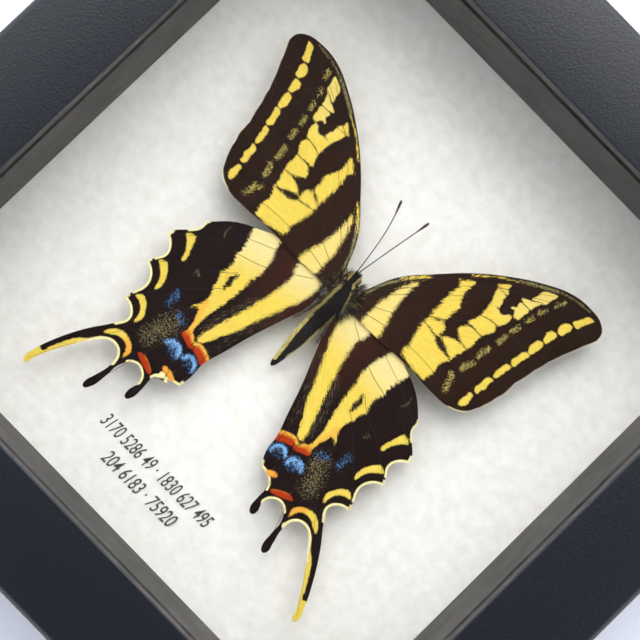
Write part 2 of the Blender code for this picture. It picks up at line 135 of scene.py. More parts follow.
def make_piece(name: str, bm: bmesh.types.BMesh, *materials: bpy.types.Material,
               smooth_deg: float | None = 40.0) -> bpy.types.Object:
    """Turn a bmesh into an object at the origin.

    Args:
        name: the piece's name.
        bm: the shape, in metres; it is freed.
        materials: the piece's materials, in slot order.
        smooth_deg: edges sharper than this stay sharp; None shades the piece flat.

    Returns:
        The new object.
    """
    mesh = bpy.data.meshes.new(name)
    bm.to_mesh(mesh)
    bm.free()
    for mat in materials:
        mesh.materials.append(mat)
    if smooth_deg is not None:
        mesh.shade_smooth()
        mesh.set_sharp_from_angle(angle=math.radians(smooth_deg))
    obj = bpy.data.objects.new(name, mesh)
    bpy.context.scene.collection.objects.link(obj)
    return obj


def fit_piece(obj: bpy.types.Object, slot: str, *nodes: str) -> bpy.types.Object:
    """Bind a finished piece to the frame and report it.

    Args:
        obj: the piece.
        slot: the name of its finish's material slot, which is only logged, when no CAD node is
            given.
        nodes: the CAD nodes that it stands for.

    Returns:
        The same piece.
    """
    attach(obj, "root")
    if nodes:
        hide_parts(*nodes)
    LOG.info("%s: %d faces, for %s", obj.name, len(obj.data.polygons), ", ".join(nodes) or slot)
    return obj


def dress_node(node: str, mat: bpy.types.Material) -> None:
    """Give a CAD node that keeps its shape a finish.

    Args:
        node: the node's name.
        mat: its material.
    """
    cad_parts[node].material_slots[0].material = mat
    LOG.info("%s: dressed in %s", node, mat.name)


def sweep(bm: bmesh.types.BMesh, path: list[Vector], radii: list[float], sides: int = 6,
          flatten: float = 1.0) -> None:
    """Add a closed tube along a path.

    Args:
        bm: the bmesh that takes the tube.
        path: the points of its centreline, in metres.
        radii: its radius at each point, in metres.
        sides: how many sides it has.
        flatten: its height as a share of its width.
    """
    frames = []
    for index, (place, radius) in enumerate(zip(path, radii)):
        along = path[min(index + 1, len(path) - 1)] - path[max(index - 1, 0)]
        turn = along.to_track_quat("Z", "Y").to_matrix().to_4x4()
        size = Matrix.Diagonal((radius, radius * flatten, radius, 1.0))
        frames.append(Matrix.Translation(place) @ turn @ size)
    ring = bmesh.ops.create_circle(bm, cap_ends=True, segments=sides, radius=1.0,
                                   matrix=frames[0])["verts"]
    edges = list({edge for vert in ring for edge in vert.link_edges})
    for before, after in zip(frames, frames[1:]):
        grown = bmesh.ops.extrude_edge_only(bm, edges=edges)["geom"]
        ring = [item for item in grown if isinstance(item, bmesh.types.BMVert)]
        picked = set(ring)
        bmesh.ops.transform(bm, matrix=after @ before.inverted(), verts=ring)
        edges = [item for item in grown if isinstance(item, bmesh.types.BMEdge)
                 and item.verts[0] in picked and item.verts[1] in picked]
    bmesh.ops.edgeloop_fill(bm, edges=edges)


def add_strand(bm: bmesh.types.BMesh, root: Vector, lean: Vector, radius: float) -> None:
    """Add one tapered hair.

    Args:
        bm: the bmesh that takes the hair.
        root: where it grows, in metres.
        lean: from its root to its tip, in metres.
        radius: its radius at the root, in metres.
    """
    turn = lean.to_track_quat("Z", "X").to_matrix().to_4x4()
    place = Matrix.Translation(root + lean / 2) @ turn
    bmesh.ops.create_cone(bm, cap_ends=True, segments=3, radius1=radius, radius2=radius * 0.2,
                          depth=lean.length, matrix=place)


def smooth_path(points: Outline, closed: bool, steps: int = 4) -> np.ndarray:
    """Read points from the smooth curve through a few.

    Args:
        points: the curve's own points.
        closed: whether it runs back to its start.
        steps: how many points to read between two of its own.

    Returns:
        The points, one to a row.
    """
    own = np.array(points, float)
    padded = np.vstack((own[-1:], own, own[:2])) if closed else np.vstack((own[:1], own, own[-1:]))
    spans = len(own) if closed else len(own) - 1
    rows = []
    for index in range(spans):
        p0, p1, p2, p3 = padded[index:index + 4]
        for step in range(steps):
            t = step / steps
            rows.append(0.5 * (2 * p1 + (p2 - p0) * t + (2 * p0 - 5 * p1 + 4 * p2 - p3) * t ** 2
                               + (3 * p1 - p0 - 3 * p2 + p3) * t ** 3))
    if not closed:
        rows.append(own[-1])
    return np.array(rows)


def line_distance(places: np.ndarray, line: np.ndarray) -> np.ndarray:
    """Distance from each place to an open line.

    Args:
        places: points, one to a row.
        line: the line's points, one to a row.

    Returns:
        One distance for each place.
    """
    nearest = np.full(len(places), np.inf)
    for start, end in zip(line, line[1:]):
        span = end - start
        share = np.clip(((places - start) @ span) / max(span @ span, 1e-12), 0.0, 1.0)
        gap = places - start - share[:, None] * span
        nearest = np.minimum(nearest, np.hypot(gap[:, 0], gap[:, 1]))
    return nearest


def loop_distance(places: np.ndarray, loop: np.ndarray) -> np.ndarray:
    """Signed distance from each place to a closed line, negative inside.

    Args:
        places: points, one to a row.
        loop: the closed line's points, one to a row.

    Returns:
        One distance for each place.
    """
    ring = np.vstack((loop, loop[:1]))
    inside = np.zeros(len(places), bool)
    for (x1, y1), (x2, y2) in zip(ring, ring[1:]):
        if y1 == y2:
            continue
        spans = (y1 > places[:, 1]) != (y2 > places[:, 1])
        crossing = x1 + (places[:, 1] - y1) * (x2 - x1) / (y2 - y1)
        inside ^= spans & (places[:, 0] < crossing)
    return np.where(inside, -1.0, 1.0) * line_distance(places, ring)


def smoothstep(values: np.ndarray, low: float, high: float) -> np.ndarray:
    """Ease values from 0 at low to 1 at high.

    Args:
        values: the numbers to ease.
        low: where the result is 0.
        high: where the result is 1.

    Returns:
        The eased numbers.
    """
    share = np.clip((values - low) / (high - low), 0.0, 1.0)
    return share * share * (3.0 - 2.0 * share)


# ---- finishes ------------------------------------------------------------------------
@dataclass(frozen=True)
class LeatherGrainVinyl:
    """Embossed vinyl film wrapped on a moulding: black, with pebbles and creases that glint; its
    colour is painted darker down in the relief's valleys, as shade.
    """

    # painted shade: the colour of the relief's low valleys
    valley_shade: str = "04070b"
    pebble: str = "11161d"
    grain_mm: float = 0.5
    relief_mm: float = 0.05

    def material(self) -> bpy.types.Material:
        """Make the vinyl's material."""
        mat, tree, shader = new_material("embossed_black_vinyl", Roughness=0.46,
                                         Specular_IOR_Level=0.4)
        place = millimetres(tree)
        wander = add_node(tree, "ShaderNodeTexNoise", {"Vector": place, "Scale": 0.5 / self.grain_mm,
                          "Detail": 2.0})
        shift = add_node(tree, "ShaderNodeVectorMath", {0: wander.outputs["Color"],
                         1: (0.7, 0.7, 0.7)}, operation="MULTIPLY")
        bent = add_node(tree, "ShaderNodeVectorMath", {0: place, 1: shift.outputs["Vector"]},
                        operation="ADD").outputs["Vector"]
        pebbles = add_node(tree, "ShaderNodeTexVoronoi", {"Vector": bent,
                           "Scale": 1.0 / self.grain_mm}, feature="SMOOTH_F1")
        creases = add_node(tree, "ShaderNodeTexNoise", {"Vector": bent, "Detail": 4.0,
                           "Scale": 1.9 / self.grain_mm, "Distortion": 0.8})
        pores = add_node(tree, "ShaderNodeTexNoise", {"Vector": place, "Detail": 2.0,
                         "Scale": 7.0 / self.grain_mm})
        rough_height = add_node(tree, "ShaderNodeMath", {0: creases.outputs["Fac"],
                                1: pebbles.outputs["Distance"]}, operation="SUBTRACT")
        height = add_node(tree, "ShaderNodeMath", {0: pores.outputs["Fac"], 1: 0.25,
                          2: rough_height.outputs["Value"]}, operation="MULTIPLY_ADD")
        level = add_node(tree, "ShaderNodeMapRange", {"Value": height.outputs["Value"],
                         "From Min": -0.3, "From Max": 0.6})
        # painted shade: the colour darkens from the pebbles' tops down into the valleys of the
        # relief
        tone = add_node(tree, "ShaderNodeMixRGB", {"Fac": level.outputs["Result"],
                        "Color1": linear(self.valley_shade), "Color2": linear(self.pebble)})
        gloss = add_node(tree, "ShaderNodeMapRange", {"Value": level.outputs["Result"],
                         "To Min": 0.44, "To Max": 0.30})
        bump = add_node(tree, "ShaderNodeBump", {"Height": height.outputs["Value"],
                        "Strength": 0.6, "Distance": self.relief_mm * MM})
        tree.links.new(tone.outputs["Color"], shader.inputs["Base Color"])
        tree.links.new(gloss.outputs["Result"], shader.inputs["Roughness"])
        tree.links.new(bump.outputs["Normal"], shader.inputs["Normal"])
        return mat


class Grain(Enum):
    """The way a strip's wood grain runs."""

    ALONG_X = 90.0
    ALONG_Y = 0.0


@dataclass(frozen=True)
class StainedWood:
    """Thinly stained sawn wood: mid grey and matt, with short darker streaks along the grain."""

    grain: Grain
    name: str = "stained_wood"
    pale: str = "4c4945"
    dark: str = "1a1816"
    streak_mm: float = 0.45
    streak_length: float = 14.0

    def material(self) -> bpy.types.Material:
        """Make the wood's material."""
        mat, tree, shader = new_material(f"{self.name}_{self.grain.name.lower()}", Roughness=0.62)
        place = millimetres(tree, turn_deg=self.grain.value)
        fine = add_node(tree, "ShaderNodeMapping", {"Vector": place, "Scale": (
            1.0 / self.streak_mm, 1.0 / (self.streak_mm * self.streak_length),
            1.0 / self.streak_mm)})
        streaks = add_node(tree, "ShaderNodeTexNoise", {"Vector": fine.outputs["Vector"],
                           "Scale": 1.0, "Detail": 3.0, "Roughness": 0.65})
        clouds = add_node(tree, "ShaderNodeTexNoise", {"Vector": place, "Scale": 0.12,
                          "Detail": 2.0})
        blend = add_node(tree, "ShaderNodeMath", {0: clouds.outputs["Fac"], 1: 0.5,
                         2: streaks.outputs["Fac"]}, operation="MULTIPLY_ADD")
        level = add_node(tree, "ShaderNodeMapRange", {"Value": blend.outputs["Value"],
                         "From Min": 0.58, "From Max": 0.94})
        tone = add_node(tree, "ShaderNodeMixRGB", {"Fac": level.outputs["Result"],
                        "Color1": linear(self.dark), "Color2": linear(self.pale)})
        bump = add_node(tree, "ShaderNodeBump", {"Height": streaks.outputs["Fac"],
                        "Strength": 0.5, "Distance": 0.05 * MM})
        tree.links.new(tone.outputs["Color"], shader.inputs["Base Color"])
        tree.links.new(bump.outputs["Normal"], shader.inputs["Normal"])
        return mat


@dataclass(frozen=True)
class PictureGlass:
    """Float glass, ground on its edges: clear, with a faint green in its thickness."""

    tint: str = "eef8f3"
    absorption: float = 4.0

    def material(self) -> bpy.types.Material:
        """Make the glass's material."""
        mat, tree, _ = new_material("float_glass", Base_Color=(1.0, 1.0, 1.0, 1.0), IOR=1.5,
                                    Roughness=0.0, Transmission_Weight=1.0)
        depth = add_node(tree, "ShaderNodeVolumeAbsorption", {"Color": linear(self.tint),
                         "Density": self.absorption})
        output = tree.nodes["Material Output"]
        tree.links.new(depth.outputs["Volume"], output.inputs["Volume"])
        return mat


@dataclass(frozen=True)
class FibrousPaper:
    """Long-fibred handmade paper: soft white, cloudy, with matted fibres at its surface."""

    light: str = "f6f5ec"
    cloud: str = "eae8dd"
    cloud_mm: float = 2.6
    fibre_mm: float = 0.3

    def material(self) -> bpy.types.Material:
        """Make the paper's material."""
        mat, tree, shader = new_material("fibrous_paper", Roughness=0.92)
        place = millimetres(tree)
        clouds = add_node(tree, "ShaderNodeTexNoise", {"Vector": place, "Detail": 5.0,
                          "Scale": 1.0 / self.cloud_mm, "Roughness": 0.62})
        flow = add_node(tree, "ShaderNodeVectorMath", {0: clouds.outputs["Color"],
                        1: (9.0, 9.0, 9.0)}, operation="MULTIPLY")
        bent = add_node(tree, "ShaderNodeVectorMath", {0: place, 1: flow.outputs["Vector"]},
                        operation="ADD")
        mats = add_node(tree, "ShaderNodeMapping", {"Vector": bent.outputs["Vector"],
                        "Scale": (1.0, 0.22, 1.0)})
        fibres = add_node(tree, "ShaderNodeTexNoise", {"Vector": mats.outputs["Vector"],
                          "Scale": 1.0 / self.fibre_mm, "Detail": 3.0})
        blend = add_node(tree, "ShaderNodeMath", {0: fibres.outputs["Fac"], 1: 0.35,
                         2: clouds.outputs["Fac"]}, operation="MULTIPLY_ADD")
        level = add_node(tree, "ShaderNodeMapRange", {"Value": blend.outputs["Value"],
                         "From Min": 0.48, "From Max": 0.86})
        tone = add_node(tree, "ShaderNodeMixRGB", {"Fac": level.outputs["Result"],
                        "Color1": linear(self.cloud), "Color2": linear(self.light)})
        bump = add_node(tree, "ShaderNodeBump", {"Height": blend.outputs["Value"],
                        "Strength": 0.6, "Distance": 0.16 * MM})
        tree.links.new(tone.outputs["Color"], shader.inputs["Base Color"])
        tree.links.new(bump.outputs["Normal"], shader.inputs["Normal"])
        return mat


@dataclass(frozen=True)
class PressedBoard:
    """Board pressed from fibre: flecked, matt, with a fine screen print in its surface."""

    name: str
    dark: str
    light: str
    mesh_mm: float = 0.0

    def material(self) -> bpy.types.Material:
        """Make the board's material."""
        mat, tree, shader = new_material(self.name, Roughness=0.85)
        place = millimetres(tree)
        flecks = add_node(tree, "ShaderNodeTexNoise", {"Vector": place, "Scale": 1.6,
                          "Detail": 5.0, "Roughness": 0.7})
        tone = add_node(tree, "ShaderNodeMixRGB", {"Fac": flecks.outputs["Fac"],
                        "Color1": linear(self.dark), "Color2": linear(self.light)})
        height = flecks.outputs["Fac"]
        if self.mesh_mm:
            weave = add_node(tree, "ShaderNodeTexBrick", {"Vector": place, "Scale": 1.0,
                             "Brick Width": self.mesh_mm, "Row Height": self.mesh_mm,
                             "Mortar Size": self.mesh_mm * 0.2}, offset=0.0)
            height = add_node(tree, "ShaderNodeMath", {0: weave.outputs["Fac"], 1: -0.5,
                              2: height}, operation="MULTIPLY_ADD").outputs["Value"]
        bump = add_node(tree, "ShaderNodeBump", {"Height": height, "Strength": 0.6,
                        "Distance": 0.12 * MM})
        tree.links.new(tone.outputs["Color"], shader.inputs["Base Color"])
        tree.links.new(bump.outputs["Normal"], shader.inputs["Normal"])
        return mat


@dataclass(frozen=True)
class RolledSteel:
    """Thin rolled steel: grey and bright, with fine drawing lines and a few dull stains."""

    name: str
    bright: str = "b9b8b3"
    dull: str = "8d8b86"
    line_mm: float = 0.12

    def material(self) -> bpy.types.Material:
        """Make the steel's material."""
        mat, tree, shader = new_material(self.name, Metallic=1.0, Roughness=0.34)
        place = millimetres(tree, (1.0, 0.04, 1.0))
        lines = add_node(tree, "ShaderNodeTexNoise", {"Vector": place, "Detail": 2.0,
                         "Scale": 1.0 / self.line_mm})
        stains = add_node(tree, "ShaderNodeTexNoise", {"Vector": millimetres(tree),
                          "Scale": 0.35, "Detail": 3.0})
        tone = add_node(tree, "ShaderNodeMixRGB", {"Fac": stains.outputs["Fac"],
                        "Color1": linear(self.bright), "Color2": linear(self.dull)})
        gloss = add_node(tree, "ShaderNodeMapRange", {"Value": stains.outputs["Fac"],
                         "To Min": 0.26, "To Max": 0.48})
        bump = add_node(tree, "ShaderNodeBump", {"Height": lines.outputs["Fac"],
                        "Strength": 0.35, "Distance": 0.02 * MM})
        tree.links.new(tone.outputs["Color"], shader.inputs["Base Color"])
        tree.links.new(gloss.outputs["Result"], shader.inputs["Roughness"])
        tree.links.new(bump.outputs["Normal"], shader.inputs["Normal"])
        return mat


@dataclass(frozen=True)
class WingScales:
    """Powdery wing scales: matt, with ragged edges between their colours, laid in fine rows."""

    name: str
    dark: str
    dark_near: str
    near_mm: Point = (40.0, 60.0)
    yellow: str = "e4cd58"
    yellow_deep: str = "e0c04c"
    pale: str = "e6dba2"
    cream: str = "f2e5a0"
    red: str = "a93411"
    orange: str = "e8a43a"
    blue: str = "3f74a8"
    blue_bright: str = "86b6e0"
    gold: str = "7d7350"
    olive: str = "8d8556"
    hair: str = "75684c"
    scale_mm: float = 0.16

    def material(self) -> bpy.types.Material:
        """Make the wing's material, from the layers stored on its mesh."""
        mat, tree, shader = new_material(self.name, Roughness=0.75, Specular_IOR_Level=0.03)
        place = millimetres(tree)
        layers = {layer: add_node(tree, "ShaderNodeAttribute", attribute_name=layer.value)
                  .outputs["Fac"] for layer in Layer}

        def fan(rays: float, reach: float) -> bpy.types.NodeSocket:
            """Noise drawn out along the wing's rays."""
            across = add_node(tree, "ShaderNodeMath", {0: layers[Layer.RAY], 1: rays},
                              operation="MULTIPLY").outputs["Value"]
            along = add_node(tree, "ShaderNodeMath", {0: layers[Layer.REACH], 1: reach},
                             operation="MULTIPLY").outputs["Value"]
            both = add_node(tree, "ShaderNodeCombineXYZ", {"X": across, "Y": along})
            return add_node(tree, "ShaderNodeTexNoise", {"Vector": both.outputs["Vector"],
                            "Scale": 1.0, "Detail": 3.0, "Roughness": 0.6}).outputs["Fac"]

        streaks = fan(46.0, 0.32)
        bristle = fan(120.0, 0.55)
        ragged = add_node(tree, "ShaderNodeTexNoise", {"Vector": place, "Scale": 3.4,
                          "Detail": 2.0}).outputs["Fac"]
        cells = add_node(tree, "ShaderNodeTexVoronoi", {"Vector": place,
                         "Scale": 1.0 / self.scale_mm})
        chance = add_node(tree, "ShaderNodeSeparateColor",
                          {"Color": cells.outputs["Color"]}).outputs["Red"]
        wobble = add_node(tree, "ShaderNodeMath", {0: bristle, 1: 2.2, 2: ragged},
                          operation="MULTIPLY_ADD")
        wobble = add_node(tree, "ShaderNodeMath", {0: wobble.outputs["Value"], 1: -1.6},
                          operation="ADD").outputs["Value"]
        calm = add_node(tree, "ShaderNodeMapRange", {"Value": layers[Layer.REACH],
                        "From Min": 14.0, "From Max": 32.0, "To Min": 1.7,
                        "To Max": 0.35}).outputs["Result"]
        wobble = add_node(tree, "ShaderNodeMath", {0: wobble, 1: calm},
                          operation="MULTIPLY").outputs["Value"]

        def patch(layer: Layer, roughness: float = 0.5, soft: float = 0.09) -> bpy.types.NodeSocket:
            """Mask of a patch from its signed distance, with a ragged edge."""
            edge = add_node(tree, "ShaderNodeMath", {0: wobble, 1: roughness, 2: layers[layer]},
                            operation="MULTIPLY_ADD")
            return add_node(tree, "ShaderNodeMapRange", {"Value": edge.outputs["Value"],
                            "From Min": soft, "From Max": -soft}).outputs["Result"]

        def dust(layer: Layer, soft: float = 0.12) -> bpy.types.NodeSocket:
            """Mask of single scales scattered at a layer's density."""
            spare = add_node(tree, "ShaderNodeMath", {0: layers[layer], 1: chance},
                             operation="SUBTRACT")
            return add_node(tree, "ShaderNodeMapRange", {"Value": spare.outputs["Value"],
                            "From Min": 0.0, "From Max": soft}).outputs["Result"]

        def lay(under: object, over: object, share: object) -> bpy.types.NodeSocket:
            """Lay one colour over another."""
            return add_node(tree, "ShaderNodeMixRGB", {"Fac": share, "Color1": under,
                            "Color2": over}).outputs["Color"]

        near = add_node(tree, "ShaderNodeMapRange", {"Value": layers[Layer.REACH],
                        "From Min": self.near_mm[0], "From Max": self.near_mm[1],
                        "To Min": 1.0, "To Max": 0.0}).outputs["Result"]
        strength = add_node(tree, "ShaderNodeMapRange", {"Value": streaks, "From Min": 0.35,
                            "From Max": 0.7}).outputs["Result"]
        ground = lay(linear(self.dark), linear(self.dark_near), near)
        ground = lay(ground, linear(self.gold), dust(Layer.GOLD))
        level = add_node(tree, "ShaderNodeMath", {0: layers[Layer.HAIR], 1: 0.3, 2: bristle},
                         operation="MULTIPLY_ADD").outputs["Value"]
        lines = add_node(tree, "ShaderNodeMapRange", {"Value": level, "From Min": 0.66,
                         "From Max": 0.80}).outputs["Result"]
        ground = lay(ground, linear(self.hair), lines)
        ground = lay(ground, linear(self.olive), dust(Layer.OLIVE, 0.5))
        bright = lay(linear(self.yellow), linear(self.yellow_deep), strength)
        bright = lay(bright, linear(self.pale), layers[Layer.PALE])
        bright = lay(bright, linear(self.orange), layers[Layer.ORANGE])
        tone = lay(ground, bright, patch(Layer.YELLOW, 0.85, 0.13))
        tone = lay(tone, linear(self.cream), patch(Layer.CREAM, 0.2))
        sheen = add_node(tree, "ShaderNodeMath", {0: layers[Layer.BLUE], 1: 2.2},
                         operation="POWER").outputs["Value"]
        powder = lay(linear(self.blue), linear(self.blue_bright), sheen)
        tone = lay(tone, powder, dust(Layer.BLUE, 0.3))
        glow = lay(linear(self.red), linear(self.orange), layers[Layer.ORANGE])
        tone = lay(tone, glow, patch(Layer.RED, 0.3, 0.14))
        fleck = add_node(tree, "ShaderNodeMapRange", {"Value": chance, "To Min": 0.93,
                         "To Max": 1.05}).outputs["Result"]
        tone = add_node(tree, "ShaderNodeVectorMath", {0: tone, "Scale": fleck},
                        operation="SCALE").outputs["Vector"]
        relief = add_node(tree, "ShaderNodeMath", {0: chance, 1: 0.4, 2: streaks},
                          operation="MULTIPLY_ADD")
        bump = add_node(tree, "ShaderNodeBump", {"Height": relief.outputs["Value"],
                        "Strength": 0.4, "Distance": 0.06 * MM})
        tree.links.new(tone, shader.inputs["Base Color"])
        tree.links.new(bump.outputs["Normal"], shader.inputs["Normal"])
        return mat


@dataclass(frozen=True)
class WingVein:
    """Hard veins under a thin cover of scales: amber where they cross yellow, else near black."""

    dark: str = "1a110d"
    amber: str = "8a7335"

    def material(self) -> bpy.types.Material:
        """Make the veins' material, from the yellow layer stored on the wing."""
        mat, tree, shader = new_material("wing_vein", Roughness=0.65, Specular_IOR_Level=0.2)
        gap = add_node(tree, "ShaderNodeAttribute", attribute_name=Layer.YELLOW.value)
        share = add_node(tree, "ShaderNodeMapRange", {"Value": gap.outputs["Fac"],
                         "From Min": 0.25, "From Max": -0.25})
        tone = add_node(tree, "ShaderNodeMixRGB", {"Fac": share.outputs["Result"],
                        "Color1": linear(self.dark), "Color2": linear(self.amber)})
        tree.links.new(tone.outputs["Color"], shader.inputs["Base Color"])
        return mat


@dataclass(frozen=True)
class Chitin:
    """Dried insect cuticle: dark and hard, dull where scales cover it, glossy where bare."""

    name: str
    dark: str
    light: str
    roughness: float = 0.5
    grain_mm: float = 0.18
    gloss: float = 0.5

    def material(self) -> bpy.types.Material:
        """Make the cuticle's material."""
        mat, tree, shader = new_material(self.name, Roughness=self.roughness,
                                         Specular_IOR_Level=self.gloss)
        place = millimetres(tree)
        grain = add_node(tree, "ShaderNodeTexNoise", {"Vector": place, "Detail": 3.0,
                         "Scale": 1.0 / self.grain_mm})
        level = add_node(tree, "ShaderNodeMapRange", {"Value": grain.outputs["Fac"],
                         "From Min": 0.35, "From Max": 0.7})
        tone = add_node(tree, "ShaderNodeMixRGB", {"Fac": level.outputs["Result"],
                        "Color1": linear(self.dark), "Color2": linear(self.light)})
        bump = add_node(tree, "ShaderNodeBump", {"Height": grain.outputs["Fac"],
                        "Strength": 0.5, "Distance": 0.05 * MM})
        tree.links.new(tone.outputs["Color"], shader.inputs["Base Color"])
        tree.links.new(bump.outputs["Normal"], shader.inputs["Normal"])
        return mat


@dataclass(frozen=True)
class BodyScales:
    """Close scales and down on the body: black above, with a dull yellow stripe on each side."""

    black: str = "0e0c0b"
    black_light: str = "211c18"
    stripe: str = "9c8d48"
    stripe_light: str = "d6c87c"

    def material(self) -> bpy.types.Material:
        """Make the body's material, from the stripe layer stored on its mesh."""
        mat, tree, shader = new_material("body_scales", Roughness=0.72, Specular_IOR_Level=0.15)
        place = millimetres(tree, (1.0, 0.45, 1.0))
        stripe = add_node(tree, "ShaderNodeAttribute", attribute_name="stripe").outputs["Fac"]
        grain = add_node(tree, "ShaderNodeTexNoise", {"Vector": place, "Scale": 3.2,
                         "Detail": 3.0}).outputs["Fac"]
        edge = add_node(tree, "ShaderNodeMath", {0: grain, 1: 0.7, 2: stripe},
                        operation="MULTIPLY_ADD")
        mask = add_node(tree, "ShaderNodeMapRange", {"Value": edge.outputs["Value"],
                        "From Min": 0.86, "From Max": 1.10}).outputs["Result"]
        level = add_node(tree, "ShaderNodeMapRange", {"Value": grain, "From Min": 0.35,
                         "From Max": 0.7}).outputs["Result"]
        black = add_node(tree, "ShaderNodeMixRGB", {"Fac": level, "Color1": linear(self.black),
                         "Color2": linear(self.black_light)}).outputs["Color"]
        yellow = add_node(tree, "ShaderNodeMixRGB", {"Fac": level, "Color1": linear(self.stripe),
                          "Color2": linear(self.stripe_light)}).outputs["Color"]
        tone = add_node(tree, "ShaderNodeMixRGB", {"Fac": mask, "Color1": black,
                        "Color2": yellow})
        bump = add_node(tree, "ShaderNodeBump", {"Height": grain, "Strength": 0.7,
                        "Distance": 0.12 * MM})
        tree.links.new(tone.outputs["Color"], shader.inputs["Base Color"])
        tree.links.new(bump.outputs["Normal"], shader.inputs["Normal"])
        return mat


# ---- frame ---------------------------------------------------------------------------
class Side(Enum):
    """What covers a side of the moulding's section, by its material slot."""

    FILM = 0
    WOOD = 1
    # REBATE: the rebate's faces, whose near-black finish is painted shade for the dark gap where the
    # glass sits
    REBATE = 2


@dataclass
class Moulding:
    """Four mitred lengths of rebated moulding, wrapped in vinyl on the face and outer side."""

    half_opening: float = 62.1
    face_width: float = 19.4
    depth: float = 34.0
    lip_thickness: float = 3.8
    rabbet_width: float = 5.5
    mitre_gap: float = 0.04
    film: float = 0.22
    outer_radius: float = 1.4
    lip_radius: float = 0.35
    back_radius: float = 0.5

    def profile(self) -> tuple[list[Point], list[Side]]:
        """The section, outward from the opening and up.

        Returns:
            Its points, and for each side that starts at a point, what covers it.
        """
        outer, top, under = self.face_width, self.depth, self.depth - self.lip_thickness
        points = [(self.rabbet_width, under, Side.REBATE), (self.film, under, Side.WOOD),
                  (self.film, top - self.film * 1.6, Side.FILM)]
        for step in range(5):
            angle = math.radians(180 - 22.5 * step)
            points.append((self.lip_radius * (1 + math.cos(angle)),
                           top - self.lip_radius * (1 - math.sin(angle)), Side.FILM))
        for step in range(9):
            angle = math.radians(90 - 11.25 * step)
            points.append((outer - self.outer_radius * (1 - math.cos(angle)),
                           top - self.outer_radius * (1 - math.sin(angle)), Side.FILM))
        for step in range(4):
            angle = math.radians(-30 * step)
            points.append((outer - self.back_radius * (1 - math.cos(angle)),
                           self.back_radius * (1 + math.sin(angle)),
                           Side.FILM if step < 3 else Side.WOOD))
        points.append((self.rabbet_width, 0.0, Side.REBATE))
        return [(x, z) for x, z, _ in points], [side for _, _, side in points]

    def build(self, side: str, turn: int,
              finishes: tuple[bpy.types.Material, ...]) -> bpy.types.Object:
        """Build one length.

        Args:
            side: which side of the frame it is.
            turn: its place, in degrees from the bottom length.
            finishes: the finishes of its film, its bare wood and its rebate, the last painted near
                black as shade.

        Returns:
            The length of moulding, replacing its CAD rail.
        """
        bm = bmesh.new()
        half = self.half_opening + self.face_width + 1.0
        points, sides = self.profile()
        verts = [bmesh.ops.create_vert(bm, co=(-half * MM, -(self.half_opening + x) * MM,
                                               z * MM))["vert"][0] for x, z in points]
        loops = list(zip(verts, verts[1:] + verts[:1], sides))
        for start, end, cover in loops:
            edge = bmesh.ops.contextual_create(bm, geom=[start, end])["edges"][0]
            for grown in bmesh.ops.extrude_edge_only(bm, edges=[edge])["geom"]:
                if isinstance(grown, bmesh.types.BMVert):
                    grown.co.x = half * MM
                if isinstance(grown, bmesh.types.BMFace):
                    grown.material_index = cover.value
        bmesh.ops.remove_doubles(bm, verts=bm.verts[:], dist=0.001 * MM)
        shift = self.mitre_gap / 2 * math.sqrt(2) * MM
        for sign in (-1.0, 1.0):
            cut = bmesh.ops.bisect_plane(bm, geom=bm.verts[:] + bm.edges[:] + bm.faces[:],
                                         plane_co=(-sign * shift, 0.0, 0.0),
                                         plane_no=(sign, 1.0, 0.0), clear_outer=True)
            edges = [item for item in cut["geom_cut"] if isinstance(item, bmesh.types.BMEdge)]
            for face in bmesh.ops.edgeloop_fill(bm, edges=edges)["faces"]:
                face.material_index = Side.WOOD.value
        bmesh.ops.recalc_face_normals(bm, faces=bm.faces[:])
        bmesh.ops.rotate(bm, verts=bm.verts[:], matrix=Matrix.Rotation(math.radians(turn), 3, "Z"))
        obj = make_piece(f"moulding_{side}", bm, *finishes, smooth_deg=35.0)
        return fit_piece(obj, "vinyl_wrapped_wood", f"frame_rail_{side}")

    def dress(self) -> None:
        """Build all four lengths."""
        vinyl = LeatherGrainVinyl().material()
        woods = {grain: StainedWood(grain).material() for grain in Grain}
        # painted shade: the rebate's faces get near-black wood to stand in for the shadow gap around
        # the glass's edge
        shaded_rebates = {grain: StainedWood(grain, "rebate_painted_shade", "12110f", "090908").material()
                   for grain in Grain}
        for side, turn in (("bottom", 0), ("right", 90), ("top", 180), ("left", 270)):
            grain = Grain.ALONG_X if turn % 180 == 0 else Grain.ALONG_Y
            self.build(side, turn, (vinyl, woods[grain], shaded_rebates[grain]))
            dress_node(f"spacer_{side}", woods[grain])


